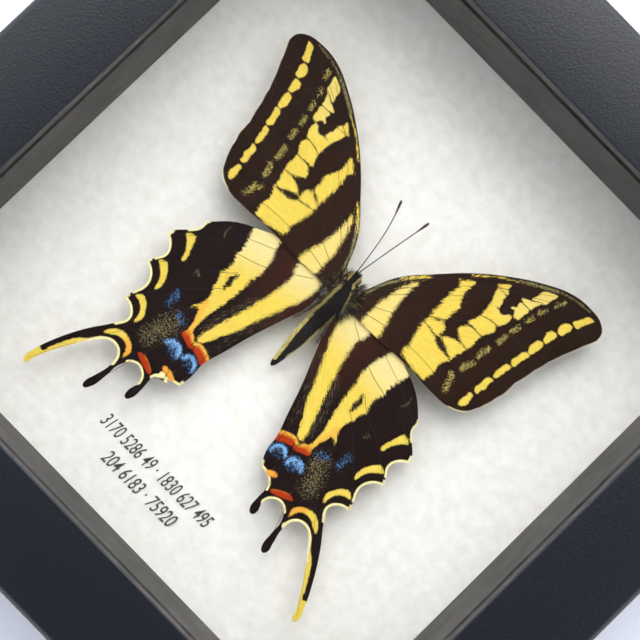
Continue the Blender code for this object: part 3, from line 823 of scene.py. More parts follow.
@dataclass
class Ground:
    """The paper that the specimen lies over, cockled a little, and the boards behind it."""

    half: float = 67.3
    top: float = 10.0
    thickness: float = 0.6
    cells: int = 96
    cockle: float = 0.07

    def build(self) -> bpy.types.Object:
        """Build the paper sheet, replacing its CAD node."""
        bm = bmesh.new()
        bmesh.ops.create_grid(bm, x_segments=self.cells, y_segments=self.cells,
                              size=self.half * MM)
        for vert in bm.verts:
            x, y = vert.co.x / MM, vert.co.y / MM
            wave = (math.sin(x * 0.11 + 0.6 * math.sin(y * 0.07)) * math.cos(y * 0.09 + 0.8)
                    + 0.45 * math.sin(x * 0.31 + y * 0.23))
            vert.co.z = (self.top + self.cockle * (wave - 0.6)) * MM
        top = bm.faces[:]
        bmesh.ops.recalc_face_normals(bm, faces=top)
        if top[0].normal.z < 0:
            bmesh.ops.reverse_faces(bm, faces=top)
        bmesh.ops.solidify(bm, geom=top, thickness=self.thickness * 0.8 * MM)
        obj = make_piece("handmade_paper", bm, FibrousPaper().material())
        return fit_piece(obj, "fibrous_paper", "backing_paper")

    def dress(self) -> None:
        """Build the paper and finish the boards, the glass and the hardware at the back."""
        self.build()
        dress_node("foam_board", PressedBoard("cut_foam_board", "dfddd6", "f2f1ec").material())
        dress_node("back_panel", PressedBoard("screen_backed_hardboard", "4f3523", "6f4c31",
                                              0.9).material())
        spring = RolledSteel("blued_spring_steel", "8c8e92", "63656a").material()
        plate = RolledSteel("zinc_plated_steel", "c9c8c2", "a19f98").material()
        for side in ("bottom", "right", "top", "left"):
            for number in (1, 2):
                dress_node(f"retaining_point_{side}_{number}", spring)
        for node in ("sawtooth_hanger", "hanger_nail_left", "hanger_nail_right"):
            dress_node(node, plate)
        dress_node("mounting_pin", RolledSteel("drawn_pin_steel", "a8a8a6", "8a8a88").material())
        dress_node("glass_pane", PictureGlass().material())
        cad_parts["glass_pane"].visible_shadow = False


@dataclass
class Label:
    """Two lines of sloping handwriting-size numerals, printed on the paper."""

    lines: tuple[tuple[str, float, float, float], ...] = (
        ("3170 5286 49 · 1830 627 495", -0.2, -48.8, 31.4), ("204 6183 · 75920", -0.1, -54.0, 20.4))
    height: float = 3.1
    slope: float = 0.32
    ink: str = "4c4a4a"

    def build(self) -> bpy.types.Object:
        """Build the print as one thin piece of ink, just above the paper."""
        ink, _, _ = new_material("printed_grey_ink", Base_Color=linear(self.ink), Roughness=0.7)
        bm = bmesh.new()
        for text, centre, baseline, width in self.lines:
            curve = bpy.data.curves.new("label_text", "FONT")
            curve.body = text
            curve.shear = self.slope
            curve.size = self.height / 0.7 * MM
            curve.extrude = 0.01 * MM
            curve.offset = 0.02 * MM
            curve.align_x = "CENTER"
            letters = bpy.data.objects.new("label_text", curve)
            bpy.context.scene.collection.objects.link(letters)
            mesh = bpy.data.meshes.new_from_object(letters)
            bpy.data.objects.remove(letters)
            part = bmesh.new()
            part.from_mesh(mesh)
            span = [vert.co.x for vert in part.verts]
            squeeze = width * MM / (max(span) - min(span))
            middle = (max(span) + min(span)) / 2
            bmesh.ops.translate(part, verts=part.verts[:], vec=(-middle, 0.0, 0.0))
            bmesh.ops.scale(part, verts=part.verts[:], vec=(squeeze, 1.0, 1.0))
            bmesh.ops.translate(part, verts=part.verts[:],
                                vec=(centre * MM, baseline * MM, 10.1 * MM))
            part.to_mesh(mesh)
            part.free()
            bm.from_mesh(mesh)
        obj = make_piece("label_print", bm, ink, smooth_deg=None)
        return fit_piece(obj, "fibrous_paper")


# ---- insect --------------------------------------------------------------------------
class Layer(Enum):
    """Numbers kept at each point of a wing, which its finish turns into colour."""

    YELLOW = "yellow"
    RED = "red"
    CREAM = "cream"
    PALE = "pale"
    ORANGE = "orange"
    GOLD = "gold"
    HAIR = "hair"
    OLIVE = "olive"
    BLUE = "blue"
    RAY = "ray"
    REACH = "reach"


SOFT_LAYERS = (Layer.PALE, Layer.ORANGE, Layer.GOLD, Layer.HAIR, Layer.OLIVE, Layer.BLUE)


@dataclass(frozen=True)
class Stroke:
    """A soft line or spot of one layer: full along its path, and fading across its radius."""

    path: Outline
    radius: float
    strength: float = 1.0
    soft: float = 0.6

    def density(self, places: np.ndarray) -> np.ndarray:
        """The stroke's strength at each place.

        Args:
            places: points, one to a row.

        Returns:
            One number for each place, 0 well away from the stroke.
        """
        path = self.path if len(self.path) > 1 else (self.path[0],) * 2
        gap = line_distance(places, smooth_path(path, closed=False))
        low, high = self.radius * (1 - self.soft), self.radius * (1 + self.soft)
        return self.strength * (1.0 - smoothstep(gap, low, high))


@dataclass(frozen=True)
class Sway:
    """How one tail or lobe of a left wing leans away from the right wing's mirror image."""

    low: float
    high: float
    root: float
    length: float
    shift: Point

    def share(self, places: np.ndarray) -> np.ndarray:
        """How far along the lean each place is."""
        near = (places[:, 0] > self.low) & (places[:, 0] <= self.high)
        reach = np.clip((self.root - places[:, 1]) / self.length, 0.0, None)
        return np.where(near, reach ** 2, 0.0)


@dataclass(frozen=True)
class Wing:
    """A wing's make-up on both sides of the insect, in millimetres.

    Places are on the right wing as it lies; the left one is its mirror image, turned.
    """

    kind: str
    hinge: Point
    hinge_left: Point
    turn_left_deg: float
    height: float
    scales: WingScales
    yellow: tuple[Outline, ...]
    dark_in_yellow: tuple[Outline, ...]
    red: tuple[Outline, ...]
    rim: tuple[Stroke, ...]
    cream: tuple[Stroke, ...]
    edging: tuple[Stroke, ...]
    soft: dict[Layer, tuple[Stroke, ...]]
    veins: tuple[Outline, ...]
    sways: tuple[Sway, ...] = ()
    scallops: tuple[Point, ...] = ()
    scallop_depth: float = 0.34
    scallop_reach: float = 1.9
    cell_mm: float = 0.32
    thickness: float = 0.14
    dihedral_deg: float = 1.0

    def spread(self, places: np.ndarray, left: bool) -> np.ndarray:
        """Bring places on a wing into the right wing's coordinates.

        Args:
            places: points in the frame's plane, one to a row.
            left: whether they are on the left wing.

        Returns:
            The points on the right wing.
        """
        if not left:
            return places
        offset = places - np.array(self.hinge_left)
        turn = math.radians(self.turn_left_deg)
        along = offset[:, 0] * math.cos(turn) + offset[:, 1] * math.sin(turn)
        across = offset[:, 1] * math.cos(turn) - offset[:, 0] * math.sin(turn)
        swayed = np.column_stack((self.hinge[0] - along, self.hinge[1] + across))
        back = swayed.copy()
        for _ in range(4):
            moved = sum((lean.share(back)[:, None] * np.array(lean.shift) for lean in self.sways),
                        np.zeros_like(back))
            back = swayed - moved
        return back

    def laid(self, places: np.ndarray, left: bool) -> np.ndarray:
        """Bring places on the right wing to where they lie, on either side.

        Args:
            places: points on the right wing, one to a row.
            left: whether the left wing is meant.

        Returns:
            The points in the frame's plane.
        """
        if not left:
            return places
        swayed = places + sum((lean.share(places)[:, None] * np.array(lean.shift)
                               for lean in self.sways), np.zeros_like(places))
        offset = np.column_stack((self.hinge[0] - swayed[:, 0], swayed[:, 1] - self.hinge[1]))
        turn = math.radians(self.turn_left_deg)
        return np.column_stack((
            offset[:, 0] * math.cos(turn) - offset[:, 1] * math.sin(turn) + self.hinge_left[0],
            offset[:, 0] * math.sin(turn) + offset[:, 1] * math.cos(turn) + self.hinge_left[1]))

    def rise(self, places: np.ndarray, left: bool) -> np.ndarray:
        """Height of the wing's middle surface over each place in the frame's plane."""
        hinge = self.hinge_left if left else self.hinge
        outward = (hinge[0] - places[:, 0]) if left else (places[:, 0] - hinge[0])
        return self.height + math.tan(math.radians(self.dihedral_deg)) * outward

    def scalloped(self, places: np.ndarray) -> np.ndarray:
        """Draw the margin in between the veins' ends.

        Args:
            places: points of the margin on the right wing, one to a row.

        Returns:
            The points, with those near each scallop's middle moved toward the hinge.
        """
        inward = np.array(self.hinge) - places
        inward /= np.linalg.norm(inward, axis=1)[:, None]
        moved = places.copy()
        for middle in self.scallops:
            gap = np.hypot(*(places - np.array(middle)).T) / self.scallop_reach
            moved += inward * (self.scallop_depth * np.clip(1.0 - gap ** 2, 0.0, 1.0) ** 2)[:, None]
        return moved

    def relief(self, own: np.ndarray, veins: list[np.ndarray]) -> np.ndarray:
        """Pleats of the membrane: raised along veins, slack between them.

        Args:
            own: points on the right wing, one to a row.
            veins: the veins' smooth lines.

        Returns:
            How far each point stands out of the wing's plane.
        """
        gap = np.full(len(own), np.inf)
        for vein in veins:
            gap = np.minimum(gap, line_distance(own, vein))
        pleat = 0.05 * np.exp(-(gap / 0.3) ** 2) - 0.05 * smoothstep(gap, 0.4, 2.4)
        wave = 0.035 * np.sin(own[:, 0] * 0.9 + 0.5 * np.sin(own[:, 1] * 0.5)) \
            * np.cos(own[:, 1] * 0.7)
        return pleat + wave

    def layers(self, own: np.ndarray, margin: np.ndarray) -> dict[Layer, np.ndarray]:
        """Every layer's number at each place.

        Args:
            own: points on the right wing, one to a row.
            margin: the wing's edge, as a closed line on the right wing.

        Returns:
            The numbers of each layer.
        """
        far = np.full(len(own), 9.0)

        def union(outlines: tuple[Outline, ...]) -> np.ndarray:
            """Signed distance to the nearest of several outlines."""
            nearest = far
            for outline in outlines:
                nearest = np.minimum(nearest, loop_distance(own, smooth_path(outline, True)))
            return nearest

        offset = own - np.array(self.hinge)
        found = {Layer.YELLOW: np.maximum(union(self.yellow), -union(self.dark_in_yellow)),
                 Layer.RED: union(self.red), Layer.CREAM: far,
                 Layer.RAY: np.arctan2(offset[:, 1], offset[:, 0]),
                 Layer.REACH: np.hypot(offset[:, 0], offset[:, 1])}
        edge = line_distance(own, margin)
        for stroke in self.rim + self.cream + self.edging:
            gap = line_distance(own, smooth_path(stroke.path, closed=False)) - stroke.radius
            if stroke in self.edging:
                gap = np.maximum(edge - stroke.radius, gap + stroke.radius - 1.1)
            layer = Layer.YELLOW if stroke in self.rim else Layer.CREAM
            found[layer] = np.minimum(found[layer], gap)
        for layer in SOFT_LAYERS:
            found[layer] = np.zeros(len(own))
            for stroke in self.soft.get(layer, ()):
                found[layer] = np.maximum(found[layer], stroke.density(own))
        return found

    def build(self, left: bool, scales: bpy.types.Material,
              vein: bpy.types.Material) -> bpy.types.Object:
        """Build one wing on its CAD outline, sliced finely enough to hold its layers.

        Args:
            left: whether it is the left wing.
            scales: the finish of its surface.
            vein: the finish of its veins.

        Returns:
            The wing, replacing its CAD node.
        """
        side = "left" if left else "right"
        node = f"{self.kind}_{side}"
        bm = bmesh.new()
        bm.from_mesh(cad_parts[node].data)
        bmesh.ops.remove_doubles(bm, verts=bm.verts[:], dist=0.002 * MM)
        bm.normal_update()
        others = [face for face in bm.faces if face.normal.z < 0.7]
        bmesh.ops.delete(bm, geom=others, context="FACES")
        bmesh.ops.dissolve_faces(bm, faces=bm.faces[:])
        ring = np.array([loop.vert.co[:2] for loop in bm.faces[:][0].loops]) / MM
        margin = self.spread(np.vstack((ring, ring[:1])), left)
        for vert, place in zip([loop.vert for loop in bm.faces[:][0].loops],
                               self.laid(self.scalloped(margin[:-1]), left)):
            vert.co.x, vert.co.y = place[0] * MM, place[1] * MM
        low = [min(vert.co[axis] for vert in bm.verts) for axis in (0, 1)]
        high = [max(vert.co[axis] for vert in bm.verts) for axis in (0, 1)]
        for axis, normal in ((0, (1.0, 0.0, 0.0)), (1, (0.0, 1.0, 0.0))):
            count = int((high[axis] - low[axis]) / (self.cell_mm * MM))
            for step in range(1, count + 1):
                level = low[axis] + step * (high[axis] - low[axis]) / (count + 1)
                ahead = [face for face in bm.faces if axis == 0 or max(
                    vert.co[axis] for vert in face.verts) > level]
                edges = {edge for face in ahead for edge in face.edges}
                verts = {vert for face in ahead for vert in face.verts}
                place = [0.0, 0.0, 0.0]
                place[axis] = level
                bmesh.ops.bisect_plane(bm, geom=[*verts, *edges, *ahead], plane_co=place,
                                       plane_no=normal)
        bmesh.ops.triangulate(bm, faces=[face for face in bm.faces if len(face.verts) > 4])
        bmesh.ops.recalc_face_normals(bm, faces=bm.faces[:])
        if sum(face.normal.z for face in bm.faces) < 0:
            bmesh.ops.reverse_faces(bm, faces=bm.faces[:])
        places = np.array([vert.co[:2] for vert in bm.verts]) / MM
        own = self.spread(places, left)
        lines = [smooth_path(path, closed=False) for path in self.veins]
        heights = self.rise(places, left) + self.relief(own, lines) + self.thickness / 2
        for vert, height in zip(bm.verts, heights):
            vert.co.z = height * MM
        bmesh.ops.solidify(bm, geom=bm.faces[:], thickness=self.thickness * MM)
        for line in lines:
            track = self.laid(line, left)
            floor = self.rise(track, left) + self.relief(line, lines) + self.thickness / 2
            path = [Vector((x, y, z)) * MM for (x, y), z in zip(track, floor)]
            radii = [(0.085 - 0.045 * index / len(path)) * MM for index in range(len(path))]
            before = set(bm.faces)
            sweep(bm, path, radii, 6, 0.7)
            for face in bm.faces:
                if face not in before:
                    face.material_index = 1
        obj = make_piece(f"{self.kind}_scaled_{side}", bm, scales, vein, smooth_deg=50.0)
        coords = np.zeros(len(obj.data.vertices) * 3)
        obj.data.vertices.foreach_get("co", coords)
        own = self.spread(coords.reshape(-1, 3)[:, :2] / MM, left)
        for layer, numbers in self.layers(own, margin).items():
            store = obj.data.attributes.new(layer.value, "FLOAT", "POINT")
            store.data.foreach_set("value", numbers.astype(np.float32))
        return fit_piece(obj, "wing_membrane", node)


@dataclass(frozen=True)
class Trunk:
    """Thorax and abdomen as one body, with the stripes along it, in millimetres."""

    stations: tuple[tuple[float, float, float, float], ...] = (
        (-0.36, 8.95, 14.95, 0.62), (-0.28, 8.3, 14.85, 0.95), (-0.05, 7.4, 14.75, 1.25),
        (0.22, 6.4, 14.7, 1.65), (0.45, 5.0, 14.68, 2.0), (0.6, 3.2, 14.65, 2.15),
        (0.62, 1.4, 14.6, 2.05), (0.56, 0.0, 14.55, 1.9), (0.5, -1.2, 14.5, 1.78),
        (0.46, -2.4, 14.46, 1.8), (0.46, -3.6, 14.38, 1.92), (0.48, -5.0, 14.28, 1.95),
        (0.5, -7.8, 14.1, 1.72), (0.52, -10.4, 13.9, 1.33), (0.55, -12.8, 13.72, 0.95),
        (0.56, -14.4, 13.6, 0.62), (0.57, -15.1, 13.56, 0.16))
    stripes: tuple[Stroke, ...] = (
        Stroke(((-1.6, 8.3), (-1.05, 6.8), (-1.05, 4.2), (-1.1, 2.0), (-1.2, -0.7),
                (-1.15, -2.5)), 0.32, 0.95, 0.7),
        Stroke(((-1.2, -1.5), (-1.0, -4.9), (-0.75, -7.6), (-0.4, -10.1), (0.0, -13.4)), 0.5,
               1.0, 0.6),
        Stroke(((0.8, 8.4), (1.4, 7.5), (2.2, 5.4), (2.75, 3.5)), 0.32, 1.0, 0.5),
        Stroke(((2.3, 1.6), (2.25, -2.0), (2.15, -8.0), (1.5, -11.5)), 0.2, 1.0, 0.6))
    segment: float = 1.5
    waist: float = -1.4
    sides: int = 64

    def build(self, mat: bpy.types.Material) -> bpy.types.Object:
        """Build the trunk, replacing the CAD thorax and abdomen.

        Args:
            mat: its finish.

        Returns:
            The trunk, with its stripe layer.
        """
        line = smooth_path(self.stations, closed=False, steps=14)
        path, radii = [], []
        for x, y, z, radius in line:
            share = ((self.waist - y) / self.segment) % 1.0
            groove = 0.06 * math.exp(-(min(share, 1.0 - share) / 0.09) ** 2) + 0.035 * share
            path.append(Vector((x, y, z)) * MM)
            radii.append(radius * (1.0 - (groove if y < self.waist else 0.0)) * MM)
        bm = bmesh.new()
        sweep(bm, path, radii, self.sides)
        for sign, x, y in ((-1.0, -1.75, 8.5), (1.0, 1.55, 8.1)):
            lobe = Matrix.Translation(Vector((x, y, 14.95)) * MM) \
                @ Matrix.Rotation(math.radians(35.0 * sign), 4, "Z") \
                @ Matrix.Diagonal((0.75, 1.35, 0.6, 1.0))
            bmesh.ops.create_uvsphere(bm, u_segments=24, v_segments=16, radius=MM, matrix=lobe)
        obj = make_piece("trunk_scaled", bm, mat, smooth_deg=60.0)
        places = np.array([vert.co for vert in obj.data.vertices]) / MM
        above = places[:, 2] - np.interp(-places[:, 1], -line[:, 1], line[:, 2])
        girth = np.interp(-places[:, 1], -line[:, 1], line[:, 3])
        level = np.maximum(self.stripe(places[:, :2]), 0.8 * smoothstep(-above / girth, 0.2, 0.6))
        store = obj.data.attributes.new("stripe", "FLOAT", "POINT")
        store.data.foreach_set("value", level.astype(np.float32))
        return fit_piece(obj, "insect_body", "thorax", "abdomen")

    def stripe(self, places: np.ndarray) -> np.ndarray:
        """How yellow the trunk's upper side is at each place."""
        return np.max([stroke.density(places) for stroke in self.stripes], axis=0)

    def surface(self, y: float, angle: float) -> Vector:
        """The point of the trunk's surface at a station and an angle from its top."""
        rows = np.array(self.stations)
        x, z, radius = (float(np.interp(-y, -rows[:, 1], rows[:, column])) for column in (0, 2, 3))
        return Vector((x + radius * math.sin(angle), y, z + radius * math.cos(angle)))


@dataclass
class Down:
    """Hair on the body and at the wings' roots, sorted into pieces by its colour."""

    seed: int = 7
    radius: float = 0.038
    hairs: dict[str, list[tuple[Vector, Vector]]] = field(default_factory=dict)

    def grow(self, draw: Random, colour: str, root: Vector, lean: Vector) -> None:
        """Add one hair of a colour, with its way a little ruffled."""
        ruffle = Vector((draw.gauss(0, 1), draw.gauss(0, 1), draw.gauss(0, 1))) * 0.22
        way = (lean + ruffle * lean.length) * draw.uniform(0.65, 1.2)
        self.hairs.setdefault(colour, []).append((root, way))

    def coat(self, trunk: Trunk) -> None:
        """Cover the trunk and the top of the head.

        Args:
            trunk: the trunk that the hair follows.
        """
        draw = Random(self.seed)
        for _ in range(5200):
            y = 8.6 - 11.2 * draw.random() ** 1.15
            angle = math.radians(draw.uniform(-105, 105))
            root = trunk.surface(y, angle)
            level = float(trunk.stripe(np.array([root[:2]]))[0])
            colour = "gold" if level > draw.uniform(0.3, 0.8) else "black"
            length = float(np.interp(y, [-3.0, 0.0, 8.0], [0.5, 1.0, 1.1]))
            self.grow(draw, colour, root, Vector((0.32 * math.sin(angle), -0.92,
                                                  0.22 * math.cos(angle))) * length)
        for _ in range(700):
            aside, ahead = draw.uniform(-1.0, 1.0), draw.uniform(-1.0, 1.0)
            if aside ** 2 + ahead ** 2 > 1.0:
                continue
            rise = math.sqrt(1.0 - aside ** 2 - ahead ** 2)
            root = Vector((-0.3 + 1.3 * aside, 9.5 + 1.5 * ahead, 15.0 + 1.2 * rise))
            colour = "gold" if 0.5 < abs(aside) < 0.95 else "black"
            self.grow(draw, colour, root, Vector((0.25 * aside, 0.55, 0.15)))

    def wing_roots(self) -> None:
        """Lay hair outward over the roots of the wings."""
        draw = Random(self.seed + 1)
        for sign in (-1.0, 1.0):
            for _ in range(1300):
                angle = math.radians(draw.uniform(-62, 68))
                reach = draw.uniform(1.2, 3.4)
                root = Vector((0.3 + sign * reach * math.cos(angle) * 1.15,
                               5.2 + 1.5 * reach * math.sin(angle), 15.38 + 0.04 * reach))
                colour = "brown" if draw.random() > 0.09 else ("gold" if angle > 0 else "grey")
                self.grow(draw, colour, root, Vector((sign * math.cos(angle),
                                                      1.1 * math.sin(angle), 0.05)) * 1.25)
            for _ in range(36):
                root = Vector((0.2 + sign * draw.uniform(1.9, 3.1), draw.uniform(2.6, 4.2), 15.6))
                self.grow(draw, "grey", root, Vector((sign * 0.8, -0.5, 0.06)))
            for _ in range(420):
                reach = draw.uniform(0.0, 1.0)
                root = Vector((0.3 + sign * (1.7 + 1.6 * reach), 2.2 - 6.5 * reach, 14.85))
                self.grow(draw, "brown" if draw.random() > 0.3 else "grey", root,
                          Vector((sign * 0.45, -1.2, 0.0)))

    def build(self) -> None:
        """Build one piece for each colour of hair."""
        tones = {"black": ("100e0d", "2a2420"), "gold": ("8f8145", "c2b36c"),
                 "brown": ("1a100d", "32211a"), "grey": ("675f56", "9c948a")}
        for colour, hairs in self.hairs.items():
            bm = bmesh.new()
            for root, way in hairs:
                add_strand(bm, root * MM, way * MM, self.radius * MM)
            mat = Chitin(f"down_{colour}", *tones[colour], 0.7, gloss=0.12).material()
            fit_piece(make_piece(f"down_{colour}", bm, mat, smooth_deg=60.0), "insect_body")


@dataclass
class Insect:
    """The whole specimen, from its body out."""

    trunk: Trunk = field(default_factory=Trunk)
    down: Down = field(default_factory=Down)
    head_centre: tuple[float, float, float] = (-0.3, 9.45, 15.0)
    head_radii: tuple[float, float, float] = (1.3, 1.5, 1.2)
    eye_offset: tuple[float, float, float] = (1.12, 0.2, 0.1)
    eye_radius: float = 0.82

    def head(self, mat: bpy.types.Material) -> None:
        """Build the head and its palps, replacing the CAD head, and the two eyes.

        Args:
            mat: the head's finish.
        """
        bm = bmesh.new()
        centre = Vector(self.head_centre)
        place = Matrix.Translation(centre * MM) @ Matrix.Diagonal((*self.head_radii, 1.0))
        bmesh.ops.create_uvsphere(bm, u_segments=36, v_segments=24, radius=MM, matrix=place)
        for sign in (-1.0, 1.0):
            root = centre + Vector((0.45 * sign, 0.9, -0.4))
            path = [(root + Vector((0.1 * sign, 0.35 * step, 0.05 * step))) * MM
                    for step in range(4)]
            sweep(bm, path, [0.42 * MM, 0.45 * MM, 0.36 * MM, 0.1 * MM], 12)
        obj = make_piece("head_scaled", bm, mat, smooth_deg=60.0)
        aside = np.array([abs(vert.co.x / MM - centre.x) for vert in obj.data.vertices])
        store = obj.data.attributes.new("stripe", "FLOAT", "POINT")
        store.data.foreach_set("value", np.exp(-((aside - 0.85) / 0.3) ** 2).astype(np.float32))
        fit_piece(obj, "insect_body", "head")
        eye = Chitin("compound_eye_lens", "3b2813", "8a6c38", 0.25, 0.3).material()
        for side, sign in (("left", -1.0), ("right", 1.0)):
            bm = bmesh.new()
            ox, oy, oz = self.eye_offset
            spot = (centre + Vector((ox * sign, oy, oz))) * MM
            shape = Matrix.Translation(spot) @ Matrix.Diagonal((0.75, 1.05, 1.0, 1.0))
            bmesh.ops.create_uvsphere(bm, u_segments=32, v_segments=20, matrix=shape,
                                      radius=self.eye_radius * MM)
            fit_piece(make_piece(f"compound_eye_{side}", bm, eye), "insect_body")

    def antennae(self) -> None:
        """Build both feelers, ringed along their length and thickening into a club."""
        mat = Chitin("antenna_cuticle", "1a1513", "3a302a", 0.42).material()
        routes = {"left": ((-0.95, 10.7, 15.3), (-0.95, 11.5, 15.6), (-1.45, 14.8, 16.0),
                           (-2.05, 18.2, 16.3), (-2.75, 21.3, 16.5), (-3.75, 24.5, 16.6),
                           (-5.0, 27.7, 16.6)),
                  "right": ((-0.40, 10.7, 15.3), (-0.40, 11.5, 15.6), (0.05, 14.5, 16.0),
                            (0.6, 18.0, 16.3), (1.15, 21.4, 16.5), (1.75, 25.0, 16.6),
                            (2.3, 28.5, 16.6))}
        for side, route in routes.items():
            line = smooth_path(route, closed=False, steps=30)
            path = [Vector(place) * MM for place in line]
            radii, reach = [], 0.0
            total = sum((b - a).length for a, b in zip(path, path[1:])) / MM
            for index, place in enumerate(path):
                if index:
                    reach += (place - path[index - 1]).length / MM
                club = max(0.0, 1.0 - (total - reach) / 3.2)
                radius = 0.13 + 0.19 * min(1.0, club * 1.5) * (1.0 if club < 0.92 else 0.55)
                ring = 0.5 + 0.5 * math.cos(2 * math.pi * reach / 0.42)
                radii.append(radius * (0.86 + 0.14 * ring) * MM)
            bm = bmesh.new()
            sweep(bm, path, radii, 10)
            fit_piece(make_piece(f"feeler_{side}", bm, mat, smooth_deg=60.0), "antenna_cuticle",
                      f"antenna_{side}")

    def dress(self) -> None:
        """Build the whole insect."""
        mat = BodyScales().material()
        self.trunk.build(mat)
        self.head(mat)
        self.down.coat(self.trunk)
        self.down.wing_roots()
        self.down.build()
        self.antennae()
        vein = WingVein().material()
        for wing in (FOREWING, HINDWING):
            scales = wing.scales.material()
            for left in (False, True):
                wing.build(left, scales, vein)


